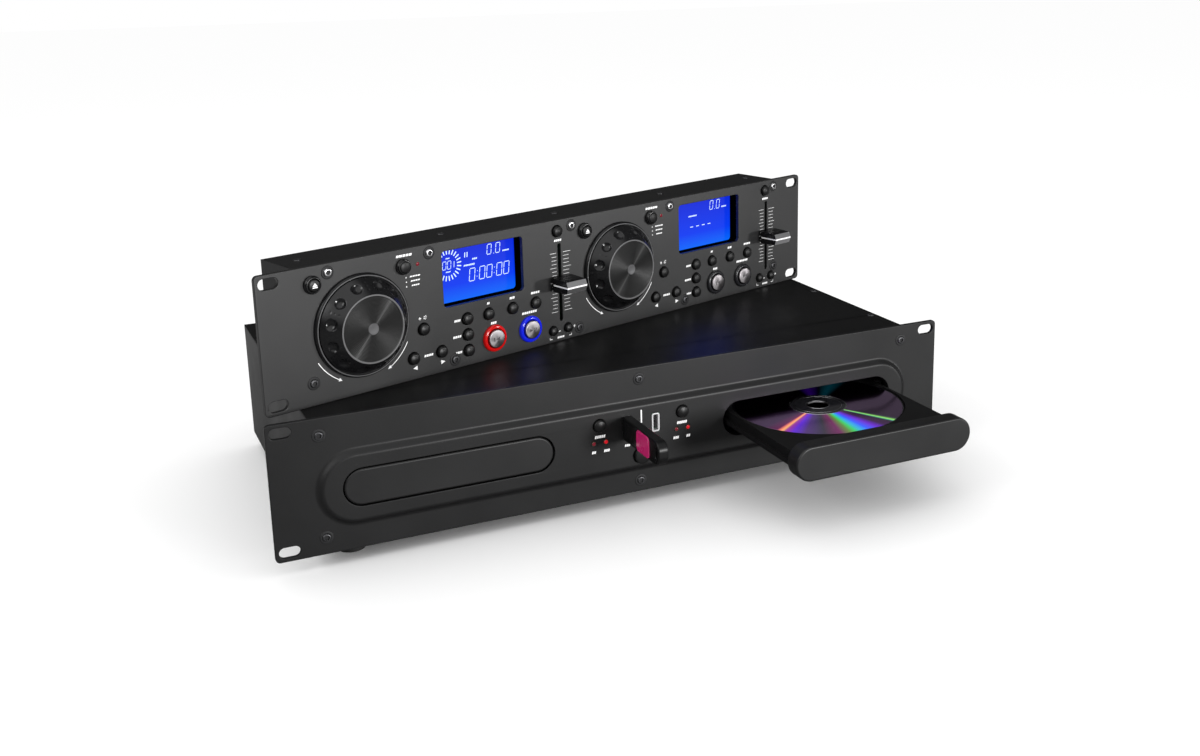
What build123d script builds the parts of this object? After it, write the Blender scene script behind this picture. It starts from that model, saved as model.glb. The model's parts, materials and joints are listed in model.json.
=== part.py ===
from build123d import *
import os
from math import cos, radians, sin

os.makedirs("parts", exist_ok=True)

# A twin disc player for a rack: a drive unit with two disc trays, and a separate
# control unit that stands on it, turned a little. All lengths are in millimetres.
# Each unit is drawn with X along its front, Y inwards from the front's outer
# face and Z up from the front's lower edge.

# ---- the rack fronts, two rack units high ----
panel_width = 482.6
panel_height = 88.0
panel_thickness = 3.0
panel_corner = 3.0
rack_slot_length = 13.0
rack_slot_width = 7.0
rack_slot_side_inset = 8.75
rack_slot_edge_inset = 5.9
sheet = 1.0
fit_gap = 0.2
clear_gap = 1.0

# ---- drive unit ----
ground_gap = 9.0
drive_ear = 25.8
drive_bottom_inset = 1.0
drive_top_inset = 1.8
drive_depth = 239.0
chassis_flange = 12.0
front_lip = 13.0
foot_radius = 10.0
foot_taper = 1.0
foot_side_inset = 14.2
foot_edge_inset = 10.0
foot_screw_bore = 3.5

plateau_height = 3.0
plateau_slope = 4.8
plateau_side_inset = 0.7
plateau_margin = 12.7
slot_level = 40.65

disc_diameter = 120.0
disc_thickness = 1.2
disc_bore = 15.0
disc_above_slot_middle = 4.4
tray_rim = 3.0
tray_thickness = 9.0
tray_skirt = 3.0
tray_rail = 2.5
tray_rail_height = 3.0
tray_well = 2.2
small_disc_diameter = 80.0
small_disc_well = 1.0
tray_front_margin = 13.5
tray_tail = 39.5
tray_slot_side_room = 5.5
tray_slot_height = 25.1
tray_side_margin = 16.6
fascia_thickness = 12.0
fascia_gap = 0.8
fascia_edge = 3.5
tray_open_now = 98.0
hub_window_radius = 19.0

frame_wall = 7.5
frame_floor_height = 9.0
frame_floor_thickness = 3.0
mechanism_plate = 2.0
mechanism_lift = 5.0
motor_radius = 12.0
motor_height = 9.0
turntable_radius = 15.0
turntable_height = 3.5
pickup_width = 30.0
pickup_length = 22.0
pickup_height = 8.0
lens_radius = 3.0
lens_height = 1.5
guide_rod_radius = 1.5
guide_rod_spacing = 20.0
clamp_bar_width = 24.0
clamp_bar_thickness = 3.0
clamp_puck_radius = 14.0
clamp_puck_height = 2.0
clamp_clearance = 1.2

source_button_offset = 30.3
source_button_level = 53.0
source_button_radius = 4.35
power_button_level = 27.3
power_button_radius = 6.0
power_travel = 1.5
led_radius = 1.5
led_level = 41.0
led_first = 25.9
led_pitch = 8.7
usb_offset = 10.5
usb_level = 48.5
usb_shell_width = 5.7
usb_shell_height = 13.1
usb_shell_depth = 14.0
usb_shell_wall = 0.3
usb_frame_gap = 0.3
usb_plug_wall = 0.35
usb_plug_gap = 0.15
usb_plug_length = 11.0
usb_tongue = 1.6
stick_length = 57.0
stick_height = 16.0
stick_thickness = 7.0
stick_round = 3.0
stick_ring_bore = 2.2

board_thickness = 1.6
front_board_setback = 8.0
main_board_lift = 8.0
board_margin = 3.0
chip_size = 14.0
chip_height = 2.0
capacitor_radius = 6.0
capacitor_height = 18.0
transformer_height = 34.0
transformer_length = 52.0
transformer_depth = 27.0
standoff_radius = 2.5

inlet_offset = 165.0
inlet_level = 40.0
inlet_body_width = 29.0
inlet_body_height = 21.0
inlet_body_depth = 20.0
inlet_wall = 2.2
inlet_flange_width = 48.0
inlet_flange_height = 24.0
inlet_flange_thickness = 2.0
inlet_cavity_depth = 17.0
inlet_pin_length = 11.0
inlet_pin_width = 4.0
inlet_pin_thickness = 2.0
inlet_pin_spacing = 7.0

audio_pitch = 18.0
audio_level = 46.0
audio_first = -66.0
audio_column_pitch = 22.0
audio_outer_radius = 4.15
audio_bore_radius = 1.8
audio_reach = 9.0
audio_base = 12.0
link_radius = 7.0
link_ring = 1.2
link_depth = 9.0
link_first = 20.0
link_pitch = 30.0
vent_width = 3.0
vent_height = 24.0
vent_pitch = 8.0
vent_count = 6
vent_offset = 150.0

# ---- control unit ----
control_shift_x = -7.4
control_setback = 92.6
control_turn = 18.0
control_ear = 26.7
control_inset = 0.8
control_depth = 40.0
display_width = 65.6
display_height = 38.0
display_corner = 2.5
display_setback = 10.0
display_module_margin = 1.5
display_glass = 1.0
control_board_front = 18.0
control_board_margin = 2.0
switch_size = 6.0
switch_height = 3.5
press_travel = 1.0
press_gap = 0.2
rest_gap = 0.1

small_button_radius = 4.0
small_button_proud = 3.0
bend_button_radius = 3.3
collar_button_radius = 3.9
collar_button_proud = 4.0
eject_collar_radius = 5.8
mode_collar_radius = 5.3
collar_height = 3.0
transport_button_radius = 6.5
transport_button_proud = 4.0
light_ring_radius = 9.4
light_ring_height = 2.4
button_gap = 0.3
button_flange = 0.7
button_flange_thickness = 1.0
button_stem_radius = 2.0
dome_height = 1.5

jog_bezel_radius = 33.0
jog_bezel_width = 1.5
jog_bezel_height = 3.0
jog_gap = 0.4
jog_base_height = 3.2
jog_crown_radius = 22.0
jog_height = 14.0
jog_crown_recess = 0.5
jog_hub_radius = 3.5
jog_wall = 1.6
jog_shaft_radius = 3.0
jog_shaft_play = 0.06
dimple_count = 12
dimple_radius = 7.0
dimple_depth = 2.0
encoder_size = 14.0
encoder_front = 5.0

fader_slot_length = 56.4
fader_slot_width = 2.2
fader_blade_thickness = 1.2
fader_blade_length = 8.0
fader_cap_width = 17.5
fader_cap_base = 10.0
fader_cap_ridge = 3.4
fader_cap_shoulder = 6.4
fader_cap_reach = 19.0
fader_body_width = 9.0
fader_body_front = 4.5
fader_body_floor = 3.0

screw_head_radius = 3.5
screw_head_height = 1.8
screw_shaft_radius = 1.5
screw_shaft_length = 8.0
screw_recess_radius = 1.2
screw_recess_depth = 1.0
cover_screw_head_radius = 2.8
cover_screw_length = 6.0
cover_screw_first = 36.7
cover_screw_count = 3
corner_screw_drop = 11.0
middle_screw_drop = 8.0
panel_screw_inset = 5.2

# Where each control sits on its half of the control unit: its share of the
# half's width from the left end, and its share of the front's height.
control_places = {
    "eject": (0.047, 0.870),
    "jog_mode": (0.346, 0.870),
    "plus_ten": (0.405, 0.368),
    "track_back": (0.364, 0.163),
    "track_forward": (0.465, 0.163),
    "time": (0.565, 0.369),
    "single": (0.565, 0.244),
    "program": (0.565, 0.119),
    "loop_in": (0.647, 0.367),
    "loop_out": (0.741, 0.367),
    "reloop": (0.834, 0.367),
    "cue": (0.6645, 0.165),
    "play": (0.8075, 0.165),
    "pitch": (0.931, 0.909),
    "bend_down": (0.902, 0.097),
    "bend_up": (0.965, 0.097),
}
jog_place = (0.197, 0.506)
display_place = (0.637, 0.707)
fader_place = (0.9394, 0.486)
mode_lamp_place = (0.397, 0.870)
# Screws of the control unit's front: shares of the body's width and of the height.
control_screw_places = (
    (0.049, 0.935), (0.2195, 0.935), (0.4956, 0.935), (0.7195, 0.935), (0.989, 0.935),
    (0.0147, 0.166), (0.2563, 0.074), (0.507, 0.074), (0.754, 0.074), (0.990, 0.183),
)
top_screw_shares = (0.034, 0.28, 0.5065, 0.749, 0.972)
top_screw_setback = 24.0
top_tab_width = 12.0
top_tab_depth = 29.0

# ---- sizes that follow ----
cover_screw_head_height = control_inset - fit_gap
fader_cap_start = screw_head_height + 2 * fit_gap
led_offsets = (led_first, led_first + led_pitch)
audio_columns = (audio_first, audio_first + audio_column_pitch)
link_offsets = (link_first, link_first + link_pitch)
screw_hole_radius = screw_shaft_radius + fit_gap
panel_back = panel_thickness
plateau_front = -plateau_height
drive_half = panel_width / 2 - drive_ear
drive_bottom = drive_bottom_inset
drive_top = panel_height - drive_top_inset
drive_back = panel_back + drive_depth
drive_floor = drive_bottom + sheet
drive_inner_back = drive_back - sheet

disc_radius = disc_diameter / 2
disc_top = slot_level + disc_above_slot_middle
disc_bottom = disc_top - disc_thickness
disc_setback = fascia_thickness + tray_front_margin + disc_radius
tray_half = disc_radius + tray_rim
tray_top = disc_bottom - rest_gap + tray_well
tray_bottom = tray_top - tray_thickness
tray_length = disc_setback + disc_radius + tray_tail
tray_slot_width = 2 * (tray_half + tray_slot_side_room)
tray_centre = drive_half - tray_side_margin - tray_slot_width / 2
fascia_back = plateau_front + fascia_thickness
tray_end = plateau_front + tray_length

frame_inner_half = tray_half + fit_gap
frame_half = frame_inner_half + frame_wall
frame_front = fascia_back + clear_gap
frame_end = tray_end + clear_gap
frame_back = frame_end + frame_wall / 2
centre_half = tray_centre - frame_half - board_margin
disc_home = plateau_front + disc_setback

control_half = panel_width / 2 - control_ear
control_bottom = control_inset
control_top = panel_height - control_inset
control_back = panel_back + control_depth
deck_width = control_half
deck_starts = {"left": -control_half, "right": 0.0}
control_link_level = panel_height / 2
stem_end = control_board_front - switch_height - press_travel - press_gap

front_reach = plateau_front - tray_open_now
back_reach = drive_back + audio_reach
drive_home = Pos(0, -(front_reach + back_reach) / 2, ground_gap)
control_home = drive_home * Pos(control_shift_x, control_setback, drive_top) * Rot(0, 0, control_turn)
right_tray_shift = Pos(0, -tray_open_now, 0)

nodes = {}


# ---- shapes that repeat ----
def block(x0, x1, y0, y1, z0, z1):
    """A block between two opposite corners."""
    return Pos((x0 + x1) / 2, (y0 + y1) / 2, (z0 + z1) / 2) * Box(x1 - x0, y1 - y0, z1 - z0)


def prism(outline, y0, y1):
    """An outline drawn in X and Z, carried back from y0 to y1."""
    return Pos(0, y1, 0) * extrude(Plane.XZ * outline, y1 - y0)


def round_bar(x, z, radius, y0, y1):
    return prism(Pos(x, z) * Circle(radius), y0, y1)


def post(x, y, radius, z0, z1):
    return Pos(x, y, (z0 + z1) / 2) * Cylinder(radius, z1 - z0)


def turned(x, z, points):
    """A turned piece about a line along Y; each point is a radius and a depth."""
    profile = make_face(Polyline(*points, close=True))
    return Pos(x, 0, z) * revolve(profile, Axis.Y)


def group(*pieces):
    """Separate solids kept together as one node."""
    return Compound([solid for piece in pieces for solid in piece.solids()])


def deck_point(deck, place):
    """A place on one half of the control unit's front, as X and Z."""
    return deck_starts[deck] + place[0] * deck_width, place[1] * panel_height


def rack_front():
    """A rack front with its four mounting slots."""
    plate = RectangleRounded(panel_width, panel_height, panel_corner)
    slot_x = panel_width / 2 - rack_slot_side_inset
    slot_z = panel_height / 2 - rack_slot_edge_inset
    for side in (-1, 1):
        for end in (-1, 1):
            plate -= Pos(side * slot_x, end * slot_z) * SlotOverall(rack_slot_length, rack_slot_width)
    return prism(Pos(0, panel_height / 2) * plate, 0, panel_thickness)


def panel_screw(x, z, front=0.0):
    """A round-headed screw whose head sits on a face at depth front."""
    crown = front - screw_head_height
    head = fillet(
        round_bar(x, z, screw_head_radius, crown, front).faces().sort_by(Axis.Y)[0].edges(),
        screw_head_height * 0.6,
    )
    body = head + round_bar(x, z, screw_shaft_radius, front, front + screw_shaft_length)
    return body - round_bar(x, z, screw_recess_radius, crown, crown + screw_recess_depth)


def cover_screw(x, y, top):
    """A small screw that holds a cover down, its head on the height top."""
    head = post(x, y, cover_screw_head_radius, top, top + cover_screw_head_height)
    crown = fillet(head.faces().sort_by(Axis.Z)[-1].edges(), cover_screw_head_height * 0.6)
    shaft = post(x, y, screw_shaft_radius, top - cover_screw_length, top)
    top_of_head = top + cover_screw_head_height
    return crown + shaft - post(x, y, screw_recess_radius, top_of_head - screw_recess_depth, top_of_head)


def push_button(x, z, radius, proud, back, end, travel_gap=rest_gap):
    """A domed cap, a flange that keeps it in, and a stem that reaches its switch."""
    flange = radius + button_flange
    crown = (radius * 0.6, dome_height * 0.33 - proud)
    dome = ThreePointArc((0, -proud), crown, (radius, dome_height - proud))
    rest = Polyline(
        (radius, dome_height - proud), (radius, back + travel_gap), (flange, back + travel_gap),
        (flange, back + travel_gap + button_flange_thickness),
        (button_stem_radius, back + travel_gap + button_flange_thickness),
        (button_stem_radius, end), (0, end), (0, -proud),
    )
    return Pos(x, 0, z) * revolve(make_face([dome, *rest.edges()]), Axis.Y)


# ---- drive unit: the body ----
panel_screw_x = drive_half - panel_screw_inset
drive_screw_columns = (
    (-panel_screw_x, corner_screw_drop), (0, middle_screw_drop), (panel_screw_x, corner_screw_drop),
)
drive_screw_points = [(x, z) for x, drop in drive_screw_columns for z in (panel_height - drop, drop)]
cover_screw_pitch = (drive_depth - 2 * cover_screw_first) / (cover_screw_count - 1)
cover_screw_points = [
    (side * panel_screw_x, panel_back + cover_screw_first + row * cover_screw_pitch)
    for side in (-1, 1)
    for row in range(cover_screw_count)
]


def drive_front_panel():
    outer_width = 2 * (drive_half - plateau_side_inset)
    outer_height = tray_slot_height + 2 * plateau_margin
    foot = Pos(0, slot_level) * SlotOverall(outer_width, outer_height)
    crown = Pos(0, slot_level) * SlotOverall(
        outer_width - 2 * plateau_slope, outer_height - 2 * plateau_slope
    )
    plateau = loft([Plane.XZ * foot, Plane.XZ.offset(plateau_height) * crown])
    panel = rack_front() + plateau
    through = (plateau_front - clear_gap, panel_back + clear_gap)
    for side in (-1, 1):
        slot = Pos(side * tray_centre, slot_level) * SlotOverall(tray_slot_width, tray_slot_height)
        panel -= prism(slot, *through)
        panel -= round_bar(
            side * source_button_offset, source_button_level, source_button_radius + button_gap, *through
        )
        for offset in led_offsets:
            panel -= round_bar(side * offset, led_level, led_radius + fit_gap, *through)
        usb = Pos(side * usb_offset, usb_level) * Rectangle(
            usb_shell_width + 2 * usb_frame_gap, usb_shell_height + 2 * usb_frame_gap
        )
        panel -= prism(usb, *through)
    panel -= round_bar(0, power_button_level, power_button_radius + button_gap, *through)
    for x, z in drive_screw_points:
        panel -= round_bar(x, z, screw_hole_radius, *through)
    return panel


def rear_sockets_cut():
    """Everything that is cut out of the drive unit's rear wall."""
    span = (drive_inner_back - clear_gap, drive_back + clear_gap)
    hole = Pos(inlet_offset, inlet_level) * Rectangle(
        inlet_body_width + 2 * fit_gap, inlet_body_height + 2 * fit_gap
    )
    cut = prism(hole, *span)
    for x in audio_columns:
        for row in (-1, 1):
            cut += round_bar(x, audio_level + row * audio_pitch / 2, audio_outer_radius + fit_gap, *span)
    for x in link_offsets:
        cut += round_bar(x, audio_level, link_radius + fit_gap, *span)
    for index in range(vent_count):
        x = -vent_offset + (index - (vent_count - 1) / 2) * vent_pitch
        cut += prism(Pos(x, audio_level) * SlotOverall(vent_height, vent_width, rotation=90), *span)
    return cut


def drive_chassis():
    top = drive_top - sheet
    shell = block(-drive_half, drive_half, panel_back, drive_back, drive_bottom, top)
    shell -= block(
        sheet - drive_half, drive_half - sheet, panel_back + sheet, drive_inner_back,
        drive_floor, top - sheet,
    )
    inside = drive_half - chassis_flange
    shell -= block(-inside, inside, panel_back + sheet, drive_back - chassis_flange, drive_floor, top + sheet)
    shell -= block(
        -inside, inside, panel_back - sheet, panel_back + 2 * sheet,
        drive_bottom + front_lip, top - front_lip,
    )
    for x, z in drive_screw_points:
        shell -= round_bar(x, z, screw_hole_radius, panel_back - sheet, panel_back + 2 * sheet)
    for x, y in cover_screw_points:
        shell -= post(x, y, screw_hole_radius, top - 2 * sheet, top + sheet)
    return shell - rear_sockets_cut()


def drive_top_cover():
    bottom = drive_top - sheet
    cover = block(-drive_half, drive_half, panel_back + fit_gap, drive_back, bottom, drive_top)
    for x, y in cover_screw_points:
        cover -= post(x, y, screw_hole_radius, bottom - sheet, drive_top + sheet)
    return cover


def rubber_feet():
    feet = []
    for x in (-1, 1):
        for y in (panel_back + foot_edge_inset + foot_radius, drive_back - foot_edge_inset - foot_radius):
            height = drive_bottom + ground_gap
            place = Pos(x * (drive_half - foot_side_inset - foot_radius), y, drive_bottom - height / 2)
            foot = place * Cone(foot_radius - foot_taper, foot_radius, height)
            feet.append(foot - place * Pos(0, 0, -height / 4) * Cylinder(foot_screw_bore, height / 2))
    return group(*feet)


def drive_screws():
    screws = [panel_screw(x, z) for x, z in drive_screw_points]
    screws += [cover_screw(x, y, drive_top) for x, y in cover_screw_points]
    return group(*screws)


# ---- drive unit: what carries and reads the discs ----
def loader_frame(side):
    """A moulded frame on the chassis floor, with grooves in which the tray's rails run."""
    wall_top = tray_top - clear_gap
    frame = block(-frame_half, frame_half, frame_front, frame_back, drive_floor, wall_top)
    frame -= block(
        -frame_inner_half, frame_inner_half, frame_front - clear_gap, frame_end,
        drive_floor + frame_floor_height, wall_top + clear_gap,
    )
    frame -= block(
        -frame_inner_half, frame_inner_half, frame_front - clear_gap, frame_back + clear_gap,
        drive_floor - clear_gap, drive_floor + frame_floor_height - frame_floor_thickness,
    )
    groove_half = tray_half + tray_rail + 2 * fit_gap
    frame -= block(
        -groove_half, groove_half, frame_front - clear_gap, frame_end,
        tray_bottom - fit_gap, tray_bottom + tray_rail_height + fit_gap,
    )
    return Pos(side * tray_centre, 0, 0) * frame


def transport(side):
    """Spindle motor, turntable, pickup on two rods, and the clamp above the disc."""
    plate_bottom = drive_floor + frame_floor_height
    rubber_top = plate_bottom + mechanism_lift
    plate_top = rubber_top + mechanism_plate
    plate_half = small_disc_diameter / 2
    plate_start = disc_home - turntable_radius - board_margin
    plate_end = disc_home + disc_radius
    pieces = [block(-plate_half, plate_half, plate_start, plate_end, rubber_top, plate_top)]
    for x in (-plate_half + foot_radius / 2, plate_half - foot_radius / 2):
        for y in (plate_start + foot_radius / 2, plate_end - foot_radius / 2):
            pieces.append(post(x, y, standoff_radius, plate_bottom, rubber_top))
    motor_top = plate_top + motor_height
    pieces.append(
        post(0, disc_home, motor_radius, plate_top, motor_top)
        + post(0, disc_home, turntable_radius, motor_top, motor_top + turntable_height)
    )
    rod_level = plate_top + pickup_height / 2 + guide_rod_radius
    rods_start = disc_home + turntable_radius + clear_gap
    rods_end = plate_end - clear_gap
    pickup_start = (rods_start + rods_end - pickup_length) / 2
    pickup = block(
        -pickup_width / 2, pickup_width / 2, pickup_start, pickup_start + pickup_length,
        rod_level - pickup_height / 2, rod_level + pickup_height / 2,
    )
    pickup += post(
        0, pickup_start + pickup_length / 2, lens_radius,
        rod_level + pickup_height / 2, rod_level + pickup_height / 2 + lens_height,
    )
    for x in (-guide_rod_spacing / 2, guide_rod_spacing / 2):
        pickup -= round_bar(x, rod_level, guide_rod_radius + fit_gap / 4, rods_start, rods_end)
        pieces.append(round_bar(x, rod_level, guide_rod_radius, rods_start, rods_end))
    pieces.append(pickup)
    holder_half = guide_rod_spacing / 2 + 2 * guide_rod_radius
    for y in (rods_start, rods_end - sheet):
        holder = block(
            -holder_half, holder_half, y, y + sheet, plate_top, rod_level + 2 * guide_rod_radius
        )
        for x in (-guide_rod_spacing / 2, guide_rod_spacing / 2):
            holder -= round_bar(x, rod_level, guide_rod_radius, y - sheet, y + 2 * sheet)
        pieces.append(holder)
    bar_top = disc_top + clamp_clearance + clamp_puck_height + clamp_bar_thickness
    bar_start, bar_end = disc_home - clamp_bar_width / 2, disc_home + clamp_bar_width / 2
    bar = block(-frame_half, frame_half, bar_start, bar_end, bar_top - clamp_bar_thickness, bar_top)
    bar += post(
        0, disc_home, clamp_puck_radius, disc_top + clamp_clearance, bar_top - clamp_bar_thickness
    )
    for end in (-1, 1):
        outer, inner = end * frame_half, end * (frame_inner_half + fit_gap)
        bar += block(
            min(outer, inner), max(outer, inner), bar_start, bar_end, tray_top - clear_gap, bar_top
        )
    pieces.append(bar)
    return Pos(side * tray_centre, 0, 0) * group(*pieces)


def tray(side):
    """A disc tray, closed: a plate with a disc well, skirts, rails and a hub window."""
    front, centre = fascia_back, disc_home
    body = block(-tray_half, tray_half, front, tray_end, tray_bottom, tray_top)
    body += block(
        -tray_half - tray_rail, tray_half + tray_rail, frame_front, tray_end,
        tray_bottom, tray_bottom + tray_rail_height,
    )
    well_floor = tray_top - tray_well
    small_floor = well_floor - small_disc_well
    plate_bottom = small_floor - mechanism_plate
    body -= block(
        -tray_half + tray_skirt, tray_half - tray_skirt, front + tray_skirt, tray_end + clear_gap,
        tray_bottom - clear_gap, plate_bottom,
    )
    body -= post(0, centre, disc_radius + clear_gap, well_floor, tray_top + clear_gap)
    body -= post(0, centre, small_disc_diameter / 2 + clear_gap, small_floor, well_floor + clear_gap)
    window = post(0, centre, hub_window_radius, plate_bottom - clear_gap, tray_top + clear_gap)
    window += block(
        -hub_window_radius, hub_window_radius, centre, centre + disc_radius - tray_rim,
        plate_bottom - clear_gap, tray_top + clear_gap,
    )
    return Pos(side * tray_centre, 0, 0) * (body - window)


def tray_front(side):
    """The fascia on a closed tray: a bar with round ends and a rounded front edge."""
    outline = Pos(side * tray_centre, slot_level) * SlotOverall(
        tray_slot_width - 2 * fascia_gap, tray_slot_height - 2 * fascia_gap
    )
    bar = prism(outline, plateau_front, fascia_back)
    return fillet(bar.faces().sort_by(Axis.Y)[0].edges(), fascia_edge)


def compact_disc():
    disc = post(tray_centre, disc_home, disc_radius, disc_bottom, disc_top)
    return disc - post(
        tray_centre, disc_home, disc_bore / 2, disc_bottom - clear_gap, disc_top + clear_gap
    )


# ---- drive unit: the electric parts ----
usb_front = plateau_front + fit_gap
usb_back = usb_front + usb_shell_depth
front_board_face = panel_back + front_board_setback
rear_board_back = drive_inner_back - audio_base


def usb_socket(x):
    """A metal shell with its contact tongue, standing upright."""
    width, height = usb_shell_width / 2, usb_shell_height / 2
    shell = block(x - width, x + width, usb_front, front_board_face, usb_level - height, usb_level + height)
    cavity_back = front_board_face - sheet
    shell -= block(
        x - width + usb_shell_wall, x + width - usb_shell_wall, usb_front - clear_gap, cavity_back,
        usb_level - height + usb_shell_wall, usb_level + height - usb_shell_wall,
    )
    half_tongue = height - usb_shell_wall - 3 * usb_plug_gap - 2 * usb_plug_wall
    return shell + block(
        x + usb_plug_gap, x + usb_plug_gap + usb_tongue, usb_front + 2 * clear_gap, cavity_back,
        usb_level - half_tongue, usb_level + half_tongue,
    )


def circuit_boards():
    board_top = drive_top - sheet - front_lip - clear_gap
    board_bottom = drive_floor + main_board_lift
    pieces = [
        block(
            -centre_half, centre_half, front_board_face, front_board_face + board_thickness,
            board_bottom, board_top,
        )
    ]
    for side in (-1, 1):
        pieces.append(usb_socket(side * usb_offset))
        for offset in led_offsets:
            pieces.append(
                round_bar(side * offset, led_level, led_radius, plateau_front - fit_gap, front_board_face)
            )
    main_start = front_board_face + board_thickness
    main_end = frame_back
    pieces.append(
        block(
            -centre_half, centre_half, main_start, main_end,
            board_bottom - board_thickness, board_bottom,
        )
    )
    for x in (-centre_half + standoff_radius, centre_half - standoff_radius):
        for y in (main_start + standoff_radius, main_end - standoff_radius):
            pieces.append(post(x, y, standoff_radius, drive_floor, board_bottom - board_thickness))
    chip_pitch = (main_end - main_start) / 5
    for row in range(1, 5):
        for x in (-centre_half / 2, centre_half / 2):
            y = main_start + row * chip_pitch
            pieces.append(
                block(
                    x - chip_size / 2, x + chip_size / 2, y - chip_size / 2, y + chip_size / 2,
                    board_bottom, board_bottom + chip_height,
                )
            )
    socket_left = audio_columns[0] - audio_pitch / 2
    socket_right = link_offsets[1] + audio_pitch / 2
    pieces.append(
        block(
            socket_left, socket_right, rear_board_back - board_thickness, rear_board_back,
            drive_floor, audio_level + audio_pitch,
        )
    )
    for x in audio_columns:
        for row in (-1, 1):
            z = audio_level + row * audio_pitch / 2
            barrel = round_bar(x, z, audio_outer_radius, rear_board_back, drive_back + audio_reach)
            pieces.append(
                barrel - round_bar(x, z, audio_bore_radius, drive_back - sheet, drive_back + audio_reach)
            )
    for x in link_offsets:
        pieces.append(link_socket(x, audio_level, rear_board_back, drive_back + clear_gap))
    return group(*pieces)


def link_socket(x, z, inner_end, outer_end):
    """A round multi-pin socket for the lead between the two units."""
    socket = round_bar(x, z, link_radius, inner_end, outer_end)
    return socket - round_bar(x, z, link_radius - link_ring, outer_end - link_depth, outer_end)


def power_supply():
    start, end = frame_back + clear_gap, drive_inner_back - clear_gap
    core_right = inlet_offset - inlet_body_width / 2 - clear_gap
    core_left = core_right - transformer_length
    left, right = core_left - board_margin, drive_half - sheet - board_margin
    board_top = drive_floor + main_board_lift
    pieces = [block(left, right, start, end, board_top - board_thickness, board_top)]
    for x in (left + standoff_radius, right - standoff_radius):
        pieces.append(
            post(x, start + standoff_radius, standoff_radius, drive_floor, board_top - board_thickness)
        )
    core_top = board_top + transformer_height
    pieces.append(block(core_left, core_right, start, start + transformer_depth, board_top, core_top))
    beside_inlet = inlet_offset + inlet_body_width / 2 + clear_gap
    for column in range(2):
        x = beside_inlet + capacitor_radius + column * (2 * capacitor_radius + clear_gap)
        y = start + capacitor_radius
        pieces.append(post(x, y, capacitor_radius, board_top, board_top + capacitor_height))
    pieces.append(mains_inlet(board_top))
    return group(*pieces)


def mains_inlet(board_top):
    """The inlet for a mains lead: a body through the rear wall, a flange and three pins."""
    half_width, half_height = inlet_body_width / 2, inlet_body_height / 2
    mouth = drive_back + inlet_flange_thickness
    body = prism(
        Pos(inlet_offset, inlet_level) * RectangleRounded(inlet_body_width, inlet_body_height, inlet_wall),
        drive_back - inlet_body_depth, drive_back,
    )
    body += prism(
        Pos(inlet_offset, inlet_level)
        * RectangleRounded(inlet_flange_width, inlet_flange_height, inlet_wall),
        drive_back, mouth,
    )
    body -= block(
        inlet_offset - half_width + inlet_wall, inlet_offset + half_width - inlet_wall,
        mouth - inlet_cavity_depth, mouth + clear_gap,
        inlet_level - half_height + inlet_wall, inlet_level + half_height - inlet_wall,
    )
    cavity_floor = mouth - inlet_cavity_depth
    for column, row in ((-1, -0.25), (0, 0.25), (1, -0.25)):
        x, z = inlet_offset + column * inlet_pin_spacing, inlet_level + row * inlet_pin_spacing
        body += block(
            x - inlet_pin_thickness / 2, x + inlet_pin_thickness / 2,
            cavity_floor, cavity_floor + inlet_pin_length,
            z - inlet_pin_width / 2, z + inlet_pin_width / 2,
        )
    leg_front = drive_back - inlet_body_depth
    body += block(
        inlet_offset - half_width, inlet_offset + half_width, leg_front, leg_front + board_margin,
        board_top, inlet_level,
    )
    return body


def usb_stick():
    """A memory stick standing out of the left socket, its plug inside."""
    x = -usb_offset
    front = usb_front - clear_gap / 2 - stick_length
    back = usb_front - clear_gap / 2
    body = block(
        x - stick_thickness / 2, x + stick_thickness / 2, front, back,
        usb_level - stick_height / 2, usb_level + stick_height / 2,
    )
    body = fillet(body.edges().filter_by(Axis.Y), stick_round)
    body -= Pos(x, front + 2 * stick_ring_bore, usb_level + stick_height / 4) * Rot(0, 90, 0) * Cylinder(
        stick_ring_bore, 2 * stick_thickness
    )
    plug_half = usb_shell_width / 2 - usb_shell_wall - usb_plug_gap
    plug_rise = usb_shell_height / 2 - usb_shell_wall - usb_plug_gap
    plug_end = back + usb_plug_length
    plug = block(x - plug_half, x + plug_half, back, plug_end, usb_level - plug_rise, usb_level + plug_rise)
    plug -= block(
        x, x + plug_half - usb_plug_wall, back + clear_gap, plug_end + clear_gap,
        usb_level - plug_rise + usb_plug_wall, usb_level + plug_rise - usb_plug_wall,
    )
    return group(body + plug)


def drive_buttons():
    switch_gap = press_travel + press_gap
    made = {}
    for name, side in (("left", -1), ("right", 1)):
        made[name + "_source_button"] = Pos(0, plateau_front, 0) * push_button(
            side * source_button_offset, source_button_level, source_button_radius,
            small_button_proud, panel_back + plateau_height,
            front_board_face + plateau_height - switch_gap,
        )
    made["power_button"] = Pos(0, plateau_front, 0) * push_button(
        0, power_button_level, power_button_radius, small_button_proud,
        panel_back + plateau_height, front_board_face + plateau_height - power_travel - press_gap,
    )
    return made


# ---- control unit: the body ----
button_styles = {
    "eject": (collar_button_radius, collar_button_proud),
    "jog_mode": (collar_button_radius, collar_button_proud),
    "cue": (transport_button_radius, transport_button_proud),
    "play": (transport_button_radius, transport_button_proud),
    "bend_down": (bend_button_radius, small_button_proud),
    "bend_up": (bend_button_radius, small_button_proud),
}
small_button = (small_button_radius, small_button_proud)
control_screw_points = [
    ((x - 0.5) * 2 * control_half, z * panel_height) for x, z in control_screw_places
]
top_screw_points = [(share - 0.5) * 2 * control_half for share in top_screw_shares]
top_tab_top = control_top - sheet


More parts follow.
